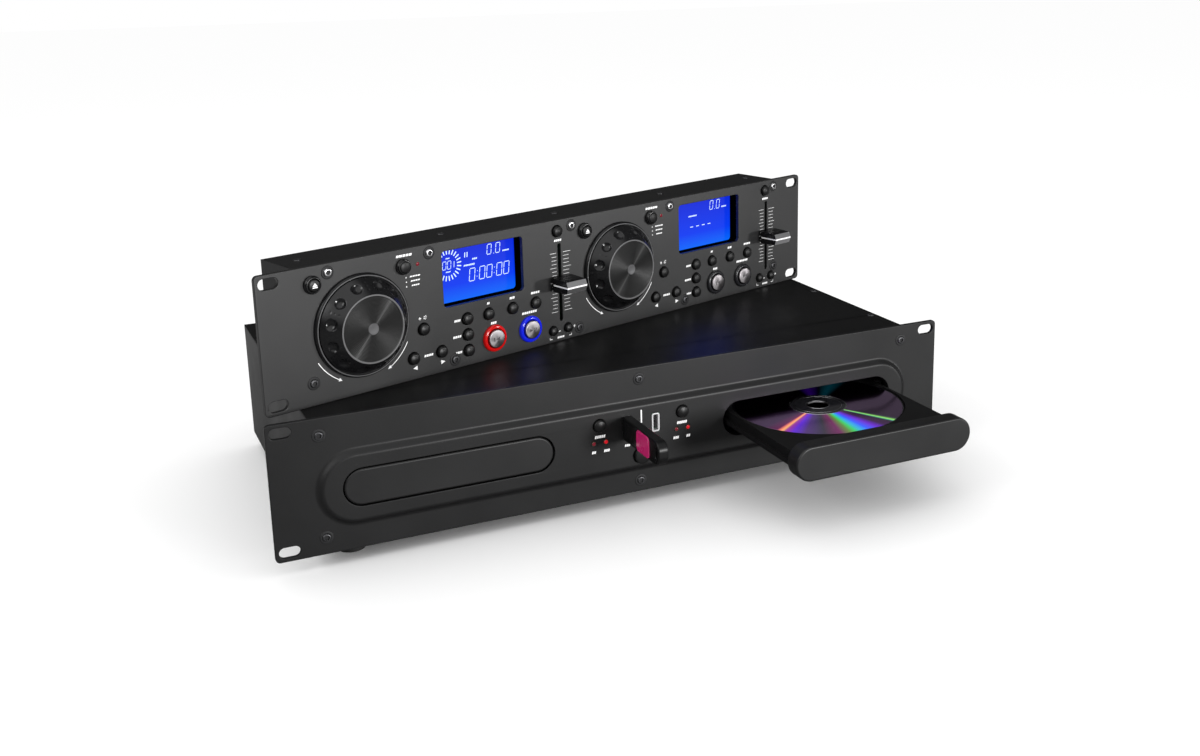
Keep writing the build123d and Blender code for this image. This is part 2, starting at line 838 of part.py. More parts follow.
def control_front_panel():
    panel = rack_front()
    through = (-clear_gap, panel_back + clear_gap)
    for deck in deck_starts:
        for name, place in control_places.items():
            x, z = deck_point(deck, place)
            radius = button_styles.get(name, small_button)[0]
            panel -= round_bar(x, z, radius + button_gap, *through)
        panel -= round_bar(*deck_point(deck, jog_place), jog_shaft_radius + clear_gap, *through)
        panel -= round_bar(*deck_point(deck, mode_lamp_place), led_radius + fit_gap, *through)
        window = RectangleRounded(display_width, display_height, display_corner)
        panel -= prism(Pos(*deck_point(deck, display_place)) * window, *through)
        slot = SlotOverall(fader_slot_length, fader_slot_width, rotation=90)
        panel -= prism(Pos(*deck_point(deck, fader_place)) * slot, *through)
    for x, z in control_screw_points:
        panel -= round_bar(x, z, screw_hole_radius, *through)
    for x in top_screw_points:
        tab = block(
            x - top_tab_width / 2, x + top_tab_width / 2, panel_back, panel_back + top_tab_depth,
            top_tab_top - sheet, top_tab_top,
        )
        panel += tab - post(x, top_screw_setback, screw_hole_radius, top_tab_top - 2 * sheet, control_top)
    return panel


def control_chassis():
    rear_wall = (control_back - 2 * sheet, control_back + sheet)
    shell = block(-control_half, control_half, panel_back, control_back, control_bottom, control_top)
    shell -= block(
        sheet - control_half, control_half - sheet, panel_back - sheet, control_back - sheet,
        control_bottom + sheet, control_top - sheet,
    )
    for x in top_screw_points:
        shell -= post(x, top_screw_setback, screw_hole_radius, top_tab_top, control_top + sheet)
    for x in link_offsets:
        shell -= round_bar(-x, control_link_level, link_radius + fit_gap, *rear_wall)
    return shell


def control_screws():
    screws = [panel_screw(x, z) for x, z in control_screw_points]
    screws += [cover_screw(x, top_screw_setback, control_top) for x in top_screw_points]
    return group(*screws)


def display_modules():
    """For each half: a dark surround behind the window, a glass, and its backlight."""
    pieces = []
    for deck in deck_starts:
        place = Pos(*deck_point(deck, display_place))
        margin = 2 * display_module_margin
        outer = Rectangle(display_width + margin, display_height + margin)
        opening = RectangleRounded(display_width, display_height, display_corner)
        pieces.append(prism(place * (outer - opening), panel_back, display_setback))
        pieces.append(prism(place * outer, display_setback, display_setback + display_glass))
        pieces.append(prism(place * outer, display_setback + display_glass, control_board_front))
    return group(*pieces)


def control_board():
    """The board, its standoffs, switches, encoders, fader bodies and sockets."""
    front, back = control_board_front, control_board_front + board_thickness
    edge = sheet + control_board_margin
    half = control_half - edge
    pieces = [block(-half, half, front, back, control_bottom + edge, control_top - edge)]
    for x, z in control_screw_points:
        standoff = round_bar(x, z, standoff_radius, panel_back, front)
        pieces.append(standoff - round_bar(x, z, screw_hole_radius, panel_back, front))
    for deck in deck_starts:
        for place in control_places.values():
            x, z = deck_point(deck, place)
            half = switch_size / 2
            pieces.append(block(x - half, x + half, front - switch_height, front, z - half, z + half))
        x, z = deck_point(deck, jog_place)
        half = encoder_size / 2
        encoder = block(x - half, x + half, encoder_front, front, z - half, z + half)
        shaft_room = jog_shaft_radius + jog_shaft_play
        pieces.append(encoder - round_bar(x, z, shaft_room, encoder_front, front - fader_body_floor))
        pieces.append(round_bar(*deck_point(deck, mode_lamp_place), led_radius, -fit_gap, front))
        pieces.append(fader_body(*deck_point(deck, fader_place)))
    link_board = control_back - sheet - link_depth
    pieces.append(
        block(
            -link_offsets[1] - link_radius - clear_gap, -link_offsets[0] + link_radius + clear_gap,
            link_board - board_thickness, link_board,
            control_bottom + sheet, control_link_level + link_radius + clear_gap,
        )
    )
    for x in link_offsets:
        pieces.append(link_socket(-x, control_link_level, link_board, control_back + clear_gap))
    return group(*pieces)


def fader_body(x, z):
    """The pitch fader's body on the board, with the channel its carriage runs in."""
    half_length = fader_slot_length / 2 + 2 * clear_gap
    front = control_board_front
    body = block(
        x - fader_body_width / 2, x + fader_body_width / 2, fader_body_front, front,
        z - half_length, z + half_length,
    )
    channel = fader_slot_width / 2
    return body - block(
        x - channel, x + channel, fader_body_front - clear_gap, front - fader_body_floor,
        z - fader_slot_length / 2, z + fader_slot_length / 2,
    )


def control_bezels():
    """Rings on the front: round the jog wheels, the collars and the light rings."""
    pieces = []
    ring_inner = transport_button_radius + button_gap
    collar_inner = collar_button_radius + button_gap
    for deck in deck_starts:
        rings = [
            (jog_place, jog_bezel_radius, jog_bezel_radius - jog_bezel_width, jog_bezel_height),
            (control_places["eject"], eject_collar_radius, collar_inner, collar_height),
            (control_places["jog_mode"], mode_collar_radius, collar_inner, collar_height),
            (control_places["cue"], light_ring_radius, ring_inner, light_ring_height),
            (control_places["play"], light_ring_radius, ring_inner, light_ring_height),
        ]
        for place, outer, inner, height in rings:
            x, z = deck_point(deck, place)
            step = (outer - inner) / 3
            lip = outer - step
            points = [(inner, 0), (outer, 0), (outer, step - height), (lip, -height), (inner, -height)]
            pieces.append(turned(x, z, points))
    return group(*pieces)


# ---- control unit: what the hands move ----
def jog_wheel(deck):
    """A wheel with a flat crown, a sloping ring with finger dimples, and a shaft."""
    x, z = deck_point(deck, jog_place)
    rim = jog_bezel_radius - jog_bezel_width - jog_gap
    crown = jog_crown_radius
    recess = jog_crown_recess - jog_height
    pocket_floor = recess + jog_wall
    lip = crown - jog_wall / 2
    shaft_end = control_board_front - fader_body_floor - fit_gap
    points = [
        (0, -jog_height), (jog_hub_radius, -jog_height), (jog_hub_radius, recess), (lip, recess),
        (lip, -jog_height), (crown, -jog_height), (rim, -jog_base_height), (rim, -rest_gap),
        (crown - jog_wall, -rest_gap), (crown - jog_wall, pocket_floor),
        (2 * jog_shaft_radius, pocket_floor), (2 * jog_shaft_radius, -rest_gap),
        (jog_shaft_radius, -rest_gap), (jog_shaft_radius, shaft_end), (0, shaft_end),
    ]
    wheel = turned(x, z, points)
    slope_run, slope_rise = rim - crown, jog_height - jog_base_height
    slope = (slope_run ** 2 + slope_rise ** 2) ** 0.5
    stand_off = dimple_radius - dimple_depth
    reach = (rim + crown) / 2 + stand_off * slope_rise / slope
    depth = -(jog_height + jog_base_height) / 2 - stand_off * slope_run / slope
    for index in range(dimple_count):
        angle = radians(index * 360 / dimple_count + 180 / dimple_count)
        wheel -= Pos(x + reach * cos(angle), depth, z + reach * sin(angle)) * Sphere(dimple_radius)
    return wheel


def pitch_slider(deck):
    """A ridged cap on a thin blade that goes through the slot into the fader's body."""
    x, z = deck_point(deck, fader_place)
    base, ridge, shoulder = fader_cap_base / 2, fader_cap_ridge / 2, fader_cap_shoulder / 2
    front, mid, back = -fader_cap_reach, -fader_cap_reach + fader_cap_ridge, -fader_cap_start
    outline = Polyline(
        (back, -base), (back, base), (mid, shoulder), (front, ridge),
        (front, -ridge), (mid, -shoulder), close=True,
    )
    cap = extrude(Plane.YZ * make_face(outline), fader_cap_width / 2, both=True)
    blade_end = control_board_front - fader_body_floor - fit_gap
    blade = block(
        -fader_blade_thickness / 2, fader_blade_thickness / 2, back, blade_end,
        -fader_blade_length / 2, fader_blade_length / 2,
    )
    return Pos(x, 0, z) * (cap + blade)


# ---- the nodes, each in its place ----
def place_nodes(home, made):
    for name, shape in made.items():
        nodes[name] = home * shape


place_nodes(drive_home, {
    "drive_front_panel": drive_front_panel(),
    "drive_chassis": drive_chassis(),
    "drive_top_cover": drive_top_cover(),
    "rubber_feet": rubber_feet(),
    "drive_screws": drive_screws(),
    "loader_frames": group(loader_frame(-1), loader_frame(1)),
    "transport_mechanisms": group(transport(-1), transport(1)),
    "circuit_boards": circuit_boards(),
    "power_supply": power_supply(),
    "left_tray": tray(-1),
    "left_tray_front": tray_front(-1),
    "usb_stick": usb_stick(),
})
place_nodes(drive_home, drive_buttons())
place_nodes(drive_home * right_tray_shift, {
    "right_tray": tray(1),
    "right_tray_front": tray_front(1),
    "compact_disc": compact_disc(),
})
place_nodes(control_home, {
    "control_front_panel": control_front_panel(),
    "control_chassis": control_chassis(),
    "control_screws": control_screws(),
    "display_modules": display_modules(),
    "control_board": control_board(),
    "control_bezels": control_bezels(),
})
for deck in deck_starts:
    place_nodes(control_home, {
        deck + "_jog_wheel": jog_wheel(deck),
        deck + "_pitch_slider": pitch_slider(deck),
    })
    for name, place in control_places.items():
        radius, proud = button_styles.get(name, small_button)
        button = push_button(*deck_point(deck, place), radius, proud, panel_back, stem_end)
        place_nodes(control_home, {f"{deck}_{name}_button": button})

for name, shape in nodes.items():
    export_step(shape, f"parts/{name}.step")
print(len(nodes), "nodes")
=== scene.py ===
import json
import math

import bmesh
import bpy
from mathutils import Matrix, Vector
from mathutils.geometry import tessellate_polygon


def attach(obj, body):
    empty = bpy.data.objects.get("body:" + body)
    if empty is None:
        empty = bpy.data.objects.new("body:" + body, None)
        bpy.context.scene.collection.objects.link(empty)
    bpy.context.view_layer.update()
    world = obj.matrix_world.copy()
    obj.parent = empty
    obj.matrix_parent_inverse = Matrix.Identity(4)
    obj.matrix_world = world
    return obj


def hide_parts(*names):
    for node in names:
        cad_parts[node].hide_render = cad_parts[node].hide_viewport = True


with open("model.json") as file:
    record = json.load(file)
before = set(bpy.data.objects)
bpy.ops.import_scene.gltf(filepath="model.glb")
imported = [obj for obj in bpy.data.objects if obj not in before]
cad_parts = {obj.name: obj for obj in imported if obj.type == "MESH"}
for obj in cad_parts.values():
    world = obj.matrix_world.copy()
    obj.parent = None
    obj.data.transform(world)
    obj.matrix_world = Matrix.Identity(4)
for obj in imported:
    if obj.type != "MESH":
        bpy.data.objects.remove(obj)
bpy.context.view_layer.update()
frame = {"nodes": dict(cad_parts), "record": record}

# A twin disc player: a drive unit with two trays and a control unit that stands on
# it. Lengths are in millimetres in each unit's own space: X along its front, Y
# inwards from the front's outer face, Z up from the front's lower edge.
MM = 0.001
PANEL_WIDTH, PANEL_HEIGHT, PANEL_THICKNESS, PANEL_CORNER = 482.6, 88.0, 3.0, 3.0
RACK_SLOT = (13.0, 7.0, 8.75, 5.9)  # length, width, and its middle's way in from side and edge
PRINT_LIFT = 0.04
LINK_OFFSETS = (20.0, 50.0)
SIDES, DECKS = (-1, 1), ("left", "right")


# ---- the two units' spaces ----
def unit_space(mount_name):
    """The matrix from a unit's own space, in metres, to the row frame."""
    mount = next(m for m in frame["record"]["mounts"] if m["name"] == mount_name)
    facing = Vector(mount["axis"])
    turn = math.atan2(facing.x, -facing.y)
    inwards = Vector((0, PANEL_THICKNESS / 2, PANEL_HEIGHT / 2)) * MM
    return (
        Matrix.Translation(mount["pos_m"])
        @ Matrix.Rotation(turn, 4, "Z")
        @ Matrix.Translation(-inwards)
    )


DRIVE = unit_space("drive_rack_holes")
CONTROL = unit_space("control_rack_holes")


def local_box(node, space):
    """The lowest and highest corner of a CAD node in a unit's own space."""
    back = space.inverted()
    points = [(back @ vertex.co) / MM for vertex in frame["nodes"][node].data.vertices]
    low = Vector([min(point[axis] for point in points) for axis in range(3)])
    high = Vector([max(point[axis] for point in points) for axis in range(3)])
    return low, high


def centre_of(node, space):
    low, high = local_box(node, space)
    return (low + high) / 2


# ---- outlines, as functions of how far they are grown ----
def rounded(width, height, radius, x=0.0, z=0.0, steps=8):
    def outline(grow=0.0):
        half_w, half_h = width / 2 + grow, height / 2 + grow
        bend = min(max(radius + grow, 0.02), half_w, half_h)
        points = []
        corners = (
            (half_w - bend, half_h - bend), (bend - half_w, half_h - bend),
            (bend - half_w, bend - half_h), (half_w - bend, bend - half_h),
        )
        for quarter, (cx, cz) in enumerate(corners):
            for step in range(steps + 1):
                angle = math.radians(90 * (quarter + step / steps))
                points.append((x + cx + bend * math.cos(angle), z + cz + bend * math.sin(angle)))
        return points
    return outline


def circle(radius, x=0.0, z=0.0, steps=40):
    def outline(grow=0.0):
        size = radius + grow
        return [
            (x + size * math.cos(2 * math.pi * n / steps), z + size * math.sin(2 * math.pi * n / steps))
            for n in range(steps)
        ]
    return outline


# ---- mesh parts: a list of corners and a list of faces ----
def merged(*parts):
    corners, faces = [], []
    for part_corners, part_faces in parts:
        start = len(corners)
        corners += part_corners
        faces += [tuple(index + start for index in face) for face in part_faces]
    return corners, faces


def moved(part, x=0.0, y=0.0, z=0.0):
    return [(a + x, b + y, c + z) for a, b, c in part[0]], part[1]


def upright(part):
    """Turns a part that faces the front so that it faces up."""
    return [(a, c, -b) for a, b, c in part[0]], part[1]


def facing_back(part):
    return [(-a, -b, c) for a, b, c in part[0]], part[1]


def bridge(first, second):
    """The faces between two rings, either of which may be a single point."""
    if len(first) == 1 and len(second) == 1:
        return []
    count = max(len(first), len(second))
    faces = []
    for n in range(count):
        m = (n + 1) % count
        if len(first) == 1:
            faces.append((first[0], second[n], second[m]))
        elif len(second) == 1:
            faces.append((first[n], first[m], second[0]))
        else:
            faces.append((first[n], first[m], second[m], second[n]))
    return faces


def lathe(profile, steps=64, x=0.0, z=0.0):
    """Turns (radius, depth) pairs about an axis along Y."""
    corners, faces, before = [], [], None
    for radius, depth in profile:
        start = len(corners)
        if radius < 1e-6:
            corners.append((x, depth, z))
        else:
            corners += [(px, depth, pz) for px, pz in circle(radius, x, z, steps)()]
        ring = list(range(start, len(corners)))
        if before:
            faces += bridge(before, ring)
        before = ring
    return corners, faces


def stack(outline, levels, close_front=False, close_back=False):
    """Rings of one outline at (grow, depth) levels, joined one to the next."""
    corners, faces, before = [], [], None
    for grow, depth in levels:
        start = len(corners)
        corners += [(px, depth, pz) for px, pz in outline(grow)]
        ring = list(range(start, len(corners)))
        if before:
            faces += bridge(before, ring)
        elif close_front:
            faces.append(tuple(ring))
        before = ring
    if close_back:
        faces.append(tuple(before))
    return corners, faces


def flat(loops, depth):
    """A flat face at one depth, inside the first loop and outside the others."""
    corners = [(px, depth, pz) for loop in loops for px, pz in loop]
    faces = tessellate_polygon([[Vector((px, pz, 0)) for px, pz in loop] for loop in loops])
    return corners, [tuple(face) for face in faces]


def quarter(steps):
    """The sine, and one less the cosine, at each step of a quarter turn."""
    angles = [math.pi / 2 * n / steps for n in range(steps + 1)]
    return [(math.sin(angle), 1 - math.cos(angle)) for angle in angles]


def edge_levels(front, back, bevel, inward, back_bevel=None):
    """A wall with rounded edges: inward is -1 for an outer edge and 1 for a hole."""
    behind = bevel if back_bevel is None else back_bevel
    levels = [(inward * bevel * (1 - out), front + bevel * down) for out, down in quarter(4)]
    levels += [(inward * behind * (1 - out), back - behind * down) for out, down in reversed(quarter(4))]
    return levels


def plate(outer, holes, front, back, bevel=0.3):
    """A flat plate with holes, all its edges rounded."""
    loops = [outer(-bevel)] + [hole(bevel) for hole in holes]
    parts = [flat(loops, front), flat(loops, back)]
    parts.append(stack(outer, edge_levels(front, back, bevel, -1)))
    parts += [stack(hole, edge_levels(front, back, bevel, 1)) for hole in holes]
    return merged(*parts)


def bar(outline, front, back, bevel=0.3):
    """A closed solid of one outline with its front and back edges rounded."""
    return stack(outline, edge_levels(front, back, bevel, -1), close_front=True, close_back=True)


def block(x0, x1, y0, y1, z0, z1, bevel=0.2):
    shape = rounded(x1 - x0, z1 - z0, bevel, (x0 + x1) / 2, (z0 + z1) / 2, steps=2)
    return bar(shape, y0, y1, bevel)


# ---- materials ----
SHADER = "Principled BSDF"


def add(tree, kind, **values):
    """A new shader node with some of its inputs set."""
    made = tree.nodes.new("ShaderNode" + kind)
    for name, value in values.items():
        made.inputs[name.replace("_", " ")].default_value = value
    return made


def wire(source, result, target, socket):
    target.id_data.links.new(source.outputs[result], target.inputs[socket])


def blend(tree, first, second):
    """A mix of two colours, its factor still to be wired."""
    made = add(tree, "Mix")
    made.data_type = "RGBA"
    made.inputs["A"].default_value = (*first, 1.0)
    made.inputs["B"].default_value = (*second, 1.0)
    return made


def bands(tree, stops):
    """A colour ramp with a stop for each position and colour."""
    made = add(tree, "ValToRGB")
    elements = made.color_ramp.elements
    for element, (position, colour) in ((elements[0], stops[0]), (elements[1], stops[-1])):
        element.position, element.color = position, (*colour, 1.0)
    for position, colour in stops[1:-1]:
        elements.new(position).color = (*colour, 1.0)
    return made


def grain_group():
    """Fine powder grain and a slow mottle, from the object's own coordinates."""
    group = bpy.data.node_groups.new("powder_grain", "ShaderNodeTree")
    for name, default in (("Grain Scale", 1500.0), ("Mottle Scale", 14.0)):
        socket = group.interface.new_socket(name=name, in_out="INPUT", socket_type="NodeSocketFloat")
        socket.default_value = default
    for name in ("Height", "Mottle"):
        group.interface.new_socket(name=name, in_out="OUTPUT", socket_type="NodeSocketFloat")
    come, leave = group.nodes.new("NodeGroupInput"), group.nodes.new("NodeGroupOutput")
    place = add(group, "TexCoord")
    for scale, result, detail in (("Grain Scale", "Height", 3.0), ("Mottle Scale", "Mottle", 5.0)):
        noise = add(group, "TexNoise", Detail=detail)
        wire(place, "Object", noise, "Vector")
        wire(come, scale, noise, "Scale")
        wire(noise, "Fac", leave, result)
    return group


GRAIN = grain_group()


def plain(name, colour, roughness, metallic=0.0, **inputs):
    """A Principled material with constants only."""
    made = bpy.data.materials.new(name)
    made.use_nodes = True
    shader = made.node_tree.nodes[SHADER]
    shader.inputs["Base Color"].default_value = (*colour, 1.0)
    shader.inputs["Roughness"].default_value = roughness
    shader.inputs["Metallic"].default_value = metallic
    for key, value in inputs.items():
        shader.inputs[key.replace("_", " ")].default_value = value
    return made


def grained(name, colour, roughness, grain=1500.0, bump=0.1, tone=0.15, **inputs):
    """A Principled material with fine grain, and a slow change of tone and gloss."""
    made = plain(name, colour, roughness, **inputs)
    tree = made.node_tree
    shader = tree.nodes[SHADER]
    group = tree.nodes.new("ShaderNodeGroup")
    group.node_tree = GRAIN
    group.inputs["Grain Scale"].default_value = grain
    relief = add(tree, "Bump", Strength=bump, Distance=0.0002)
    wire(group, "Height", relief, "Height")
    wire(relief, "Normal", shader, "Normal")
    spread = 0.06
    gloss = add(tree, "MapRange", From_Min=0.3, From_Max=0.7,
                To_Min=roughness - spread, To_Max=roughness + spread)
    wire(group, "Mottle", gloss, "Value")
    wire(gloss, "Result", shader, "Roughness")
    mix = blend(tree, [part * (1 - tone) for part in colour], [part * (1 + tone) for part in colour])
    wire(group, "Height", mix, "Factor")
    wire(mix, "Result", shader, "Base Color")
    return made


def lit(name, colour, strength, base, roughness=0.3):
    return plain(name, base, roughness, Emission_Color=(*colour, 1.0), Emission_Strength=strength)


def turned_metal(name, colour, roughness, metallic, anisotropic):
    """A surface with turning marks about the object's own Y axis."""
    made = plain(name, colour, roughness, metallic, Anisotropic=anisotropic)
    tangent = add(made.node_tree, "Tangent")
    tangent.direction_type = "RADIAL"
    tangent.axis = "Y"
    wire(tangent, "Tangent", made.node_tree.nodes[SHADER], "Tangent")
    return made


def painted_highlight_face(name):
    """Dark metal with a painted highlight: two light wedges meet at the middle, as light lies along a record's
    grooves.
    """
    made = plain(name, (0.02, 0.02, 0.0205), 0.36, 0.5)
    tree = made.node_tree
    place, highlight_wedge = add(tree, "TexCoord"), add(tree, "TexGradient")
    highlight_wedge.gradient_type = "RADIAL"
    turn = add(tree, "Mapping", Rotation=(math.radians(90), 0.0, 0.0))
    wire(place, "Object", turn, "Vector")
    wire(turn, "Vector", highlight_wedge, "Vector")
    # The light wedges are a painted highlight, set by the angle about the middle.
    levels = ((0.0, 0.012), (0.30, 0.012), (0.345, 0.035), (0.361, 0.09), (0.375, 0.035), (0.42, 0.012),
              (0.80, 0.012), (0.845, 0.035), (0.861, 0.09), (0.875, 0.035), (0.92, 0.012), (1.0, 0.012))
    ramp = bands(tree, [(position, (grey, grey, grey)) for position, grey in levels])
    wire(highlight_wedge, "Fac", ramp, "Fac")
    wire(ramp, "Color", tree.nodes[SHADER], "Base Color")
    return made


# One black paint in four copies, each given the tone that light gives it on that face: painted light and shade.
# The control front is lighter; the drive front and the cover are darker.
drive_paint_painted_shade = grained("drive_paint_painted_shade", (0.0075, 0.0075, 0.0078), 0.42, grain=1300.0, bump=0.25, tone=0.35,
                      Specular_IOR_Level=0.4)
control_paint_painted_light = grained("control_paint_painted_light", (0.013, 0.013, 0.0133), 0.4, grain=1300.0, bump=0.25, tone=0.3,
                        Specular_IOR_Level=0.6)
case_paint = grained("case_paint", (0.011, 0.011, 0.0113), 0.45, grain=1500.0, bump=0.2, tone=0.25,
                     Specular_IOR_Level=0.3)
cover_paint_painted_shade = grained("cover_paint_painted_shade", (0.0035, 0.0035, 0.0037), 0.42, grain=1700.0, bump=0.18, tone=0.3,
                      Specular_IOR_Level=0.3)
fascia_plastic = grained("fascia_plastic", (0.008, 0.008, 0.0083), 0.4, grain=1500.0, bump=0.2, tone=0.3,
                         Specular_IOR_Level=0.5)
tray_plastic = grained("tray_plastic", (0.006, 0.006, 0.0063), 0.45, grain=1800.0, bump=0.12,
                       Specular_IOR_Level=0.2)
frame_plastic = plain("frame_plastic", (0.016, 0.016, 0.017), 0.5)
button_rubber = grained("button_rubber", (0.005, 0.005, 0.0052), 0.36, grain=2200.0, bump=0.1,
                        Specular_IOR_Level=0.35)
black_gloss = plain("black_gloss", (0.006, 0.006, 0.0065), 0.26, Specular_IOR_Level=0.4)
black_matte = plain("black_matte", (0.008, 0.008, 0.009), 0.6)
window_black = plain("window_black", (0.001, 0.001, 0.001), 0.8, Specular_IOR_Level=0.0)
jog_gloss = plain("jog_gloss", (0.006, 0.006, 0.0065), 0.2, Specular_IOR_Level=0.5)
jog_crown_painted_highlight = painted_highlight_face("jog_crown_painted_highlight")
hub_metal = plain("hub_metal", (0.11, 0.11, 0.113), 0.35, 0.5)
# Plain grey for fine lines; the line on each jog ring's crest is a painted highlight.
rim_line = plain("rim_line", (0.10, 0.10, 0.102), 0.4)
screw_silver = plain("screw_silver", (0.72, 0.72, 0.73), 0.28, 1.0)
screw_black = plain("screw_black", (0.10, 0.10, 0.105), 0.35, 0.9)
mechanism_steel = plain("mechanism_steel", (0.5, 0.5, 0.52), 0.32, 1.0)
silver_cap = turned_metal("silver_cap", (0.36, 0.34, 0.35), 0.36, 1.0, 0.6)
bright_metal = plain("bright_metal", (0.8, 0.8, 0.82), 0.2, 1.0)
pale_metal = plain("pale_metal", (0.55, 0.55, 0.56), 0.35, 0.2)
white_print = plain("white_print", (0.86, 0.86, 0.86), 0.6)
silver_facet = plain("silver_facet", (0.5, 0.5, 0.51), 0.3, 0.9)
dark_print = plain("dark_print", (0.06, 0.055, 0.06), 0.5)
foot_rubber = grained("foot_rubber", (0.012, 0.012, 0.012), 0.65, grain=1800.0)
board_green = grained("board_green", (0.012, 0.06, 0.03), 0.4, grain=400.0, bump=0.05, tone=0.3)
red_ring = lit("red_ring", (1.0, 0.01, 0.01), 0.09, base=(0.42, 0.004, 0.004), roughness=0.12)
blue_ring = lit("blue_ring", (0.005, 0.02, 1.0), 0.2, base=(0.006, 0.012, 0.45), roughness=0.12)
dark_ring = plain("dark_ring", (0.012, 0.012, 0.014), 0.25)
lamp_bright = lit("lamp_bright", (1.0, 0.005, 0.02), 0.3, base=(0.35, 0.004, 0.01), roughness=0.12)
lamp_dim = lit("lamp_dim", (1.0, 0.03, 0.07), 0.035, base=(0.14, 0.01, 0.02), roughness=0.12)
phono_white = plain("phono_white", (0.8, 0.8, 0.78), 0.35)
phono_red = plain("phono_red", (0.55, 0.02, 0.02), 0.35)
stick_black = grained("stick_black", (0.004, 0.004, 0.0043), 0.36, grain=1500.0, bump=0.08,
                      Specular_IOR_Level=0.3)


# ---- placing pieces ----
def even_shading(made):
    """Lets large flat faces keep their own normals beside narrow rounded edges."""
    even = made.modifiers.new("even_shading", "WEIGHTED_NORMAL")
    even.mode = "FACE_AREA"
    even.weight = 80
    even.keep_sharp = True


def put(name, part, material, slot, body="drive_unit", at=(0.0, 0.0, 0.0), replaces=(), angle=38,
        space=DRIVE):
    """Makes an object of a part, its origin at a place in a unit's space."""
    mesh = bpy.data.meshes.new(name)
    mesh.from_pydata([tuple(c * MM for c in corner) for corner in part[0]], [], part[1])
    cleaned = bmesh.new()
    cleaned.from_mesh(mesh)
    bmesh.ops.remove_doubles(cleaned, verts=cleaned.verts, dist=2e-6)
    bmesh.ops.dissolve_degenerate(cleaned, edges=cleaned.edges, dist=1e-6)
    bmesh.ops.recalc_face_normals(cleaned, faces=cleaned.faces)
    cleaned.to_mesh(mesh)
    cleaned.free()
    mesh.polygons.foreach_set("use_smooth", [True] * len(mesh.polygons))
    mesh.set_sharp_from_angle(angle=math.radians(angle))
    mesh.materials.append(material)
    made = bpy.data.objects.new(name, mesh)
    bpy.context.scene.collection.objects.link(made)
    made.matrix_world = space @ Matrix.Translation(Vector(at) * MM)
    even_shading(made)
    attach(made, body)
    if replaces:
        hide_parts(*replaces)


def dress(node, material, width):
    """Gives a CAD node its finish and, where asked, softened edges."""
    made = frame["nodes"][node]
    made.data.materials.clear()
    made.data.materials.append(material)
    if width:
        weld = made.modifiers.new("weld", "WELD")
        weld.merge_threshold = 2e-6
        soft = made.modifiers.new("soft_edges", "BEVEL")
        soft.width = width * MM
        soft.segments = 2
        soft.limit_method = "ANGLE"
        soft.angle_limit = math.radians(50)
        soft.harden_normals = True
        even_shading(made)


# ---- printed marks ----
def stroke(points, width):
    """A line of even width through points, as one strip."""
    faces, corners = [], []
    for (x0, z0), (x1, z1) in zip(points, points[1:]):
        length = math.hypot(x1 - x0, z1 - z0)
        nx, nz = -(z1 - z0) / length * width / 2, (x1 - x0) / length * width / 2
        start = len(corners)
        corners += [(x0 + nx, 0, z0 + nz), (x0 - nx, 0, z0 - nz),
                    (x1 - nx, 0, z1 - nz), (x1 + nx, 0, z1 + nz)]
        faces.append((start, start + 1, start + 2, start + 3))
    return corners, faces


def polygon(points):
    return [(px, 0, pz) for px, pz in points], [tuple(range(len(points)))]


def arrow_head(x, z, size, degrees):
    turn = math.radians(degrees)
    shape = ((size, 0), (-size * 0.7, size * 0.75), (-size * 0.7, -size * 0.75))
    return polygon([
        (x + a * math.cos(turn) - b * math.sin(turn), z + a * math.sin(turn) + b * math.cos(turn))
        for a, b in shape
    ])


def arc(x, z, radius, start, end, width, steps=24):
    points = []
    for n in range(steps + 1):
        angle = math.radians(start + (end - start) * n / steps)
        points.append((x + radius * math.cos(angle), z + radius * math.sin(angle)))
    return stroke(points, width)


def dashes(x, z, length, count, height=1.1, lean=0.35):
    """A row of short bars that stands where a word would be."""
    pitch = length / count
    bars = []
    for n in range(count):
        left = x - length / 2 + n * pitch
        right = left + pitch * 0.8
        bars.append(polygon([
            (left, z - height / 2), (right, z - height / 2),
            (right + lean, z + height / 2), (left + lean, z + height / 2),
        ]))
    return merged(*bars)


SEGMENTS = {
    "0": "abcdef", "1": "bc", "2": "abged", "3": "abgcd", "4": "fgbc", "5": "afgcd", "6": "afgedc",
    "7": "abc", "8": "abcdefg", "9": "abcfgd", "-": "g",
}


def digits(text, x, z, height, line, lean=0.14, spread=0.72):
    """Seven-segment figures that start at x and stand on z."""
    wide, parts, left = height * 0.5, [], x
    spots = {"a": (0, 1, 1, 1), "b": (1, 1, 1, 0.5), "c": (1, 0.5, 1, 0), "d": (0, 0, 1, 0),
             "e": (0, 0.5, 0, 0), "f": (0, 1, 0, 0.5), "g": (0, 0.5, 1, 0.5)}
    for sign in text:
        if sign in ".:":
            for level in ([0.0] if sign == "." else [0.28, 0.72]):
                low, start = z + level * height, left + lean * level * height
                parts.append(stroke([(start, low), (left + line + lean * level * height, low)], line))
            left += height * 0.26
            continue
        for name in SEGMENTS[sign]:
            x0, z0, x1, z1 = spots[name]
            a = Vector((left + x0 * wide + lean * z0 * height, z + z0 * height))
            b = Vector((left + x1 * wide + lean * z1 * height, z + z1 * height))
            gap = (b - a).normalized() * line * 0.6
            parts.append(stroke([tuple(a + gap), tuple(b - gap)], line))
        left += height * spread
    return merged(*parts)


def printed(part, depth=0.0):
    return moved(part, y=depth - PRINT_LIFT)


# ---- pieces both units have ----
def panel_outline():
    return rounded(PANEL_WIDTH, PANEL_HEIGHT, PANEL_CORNER, 0, PANEL_HEIGHT / 2)


def rack_slots():
    length, width, side, edge = RACK_SLOT
    half_width, half_height = PANEL_WIDTH / 2, PANEL_HEIGHT / 2
    return [
        rounded(length, width, width / 2, sx * (half_width - side), half_height + sz * (half_height - edge))
        for sx in SIDES for sz in SIDES
    ]


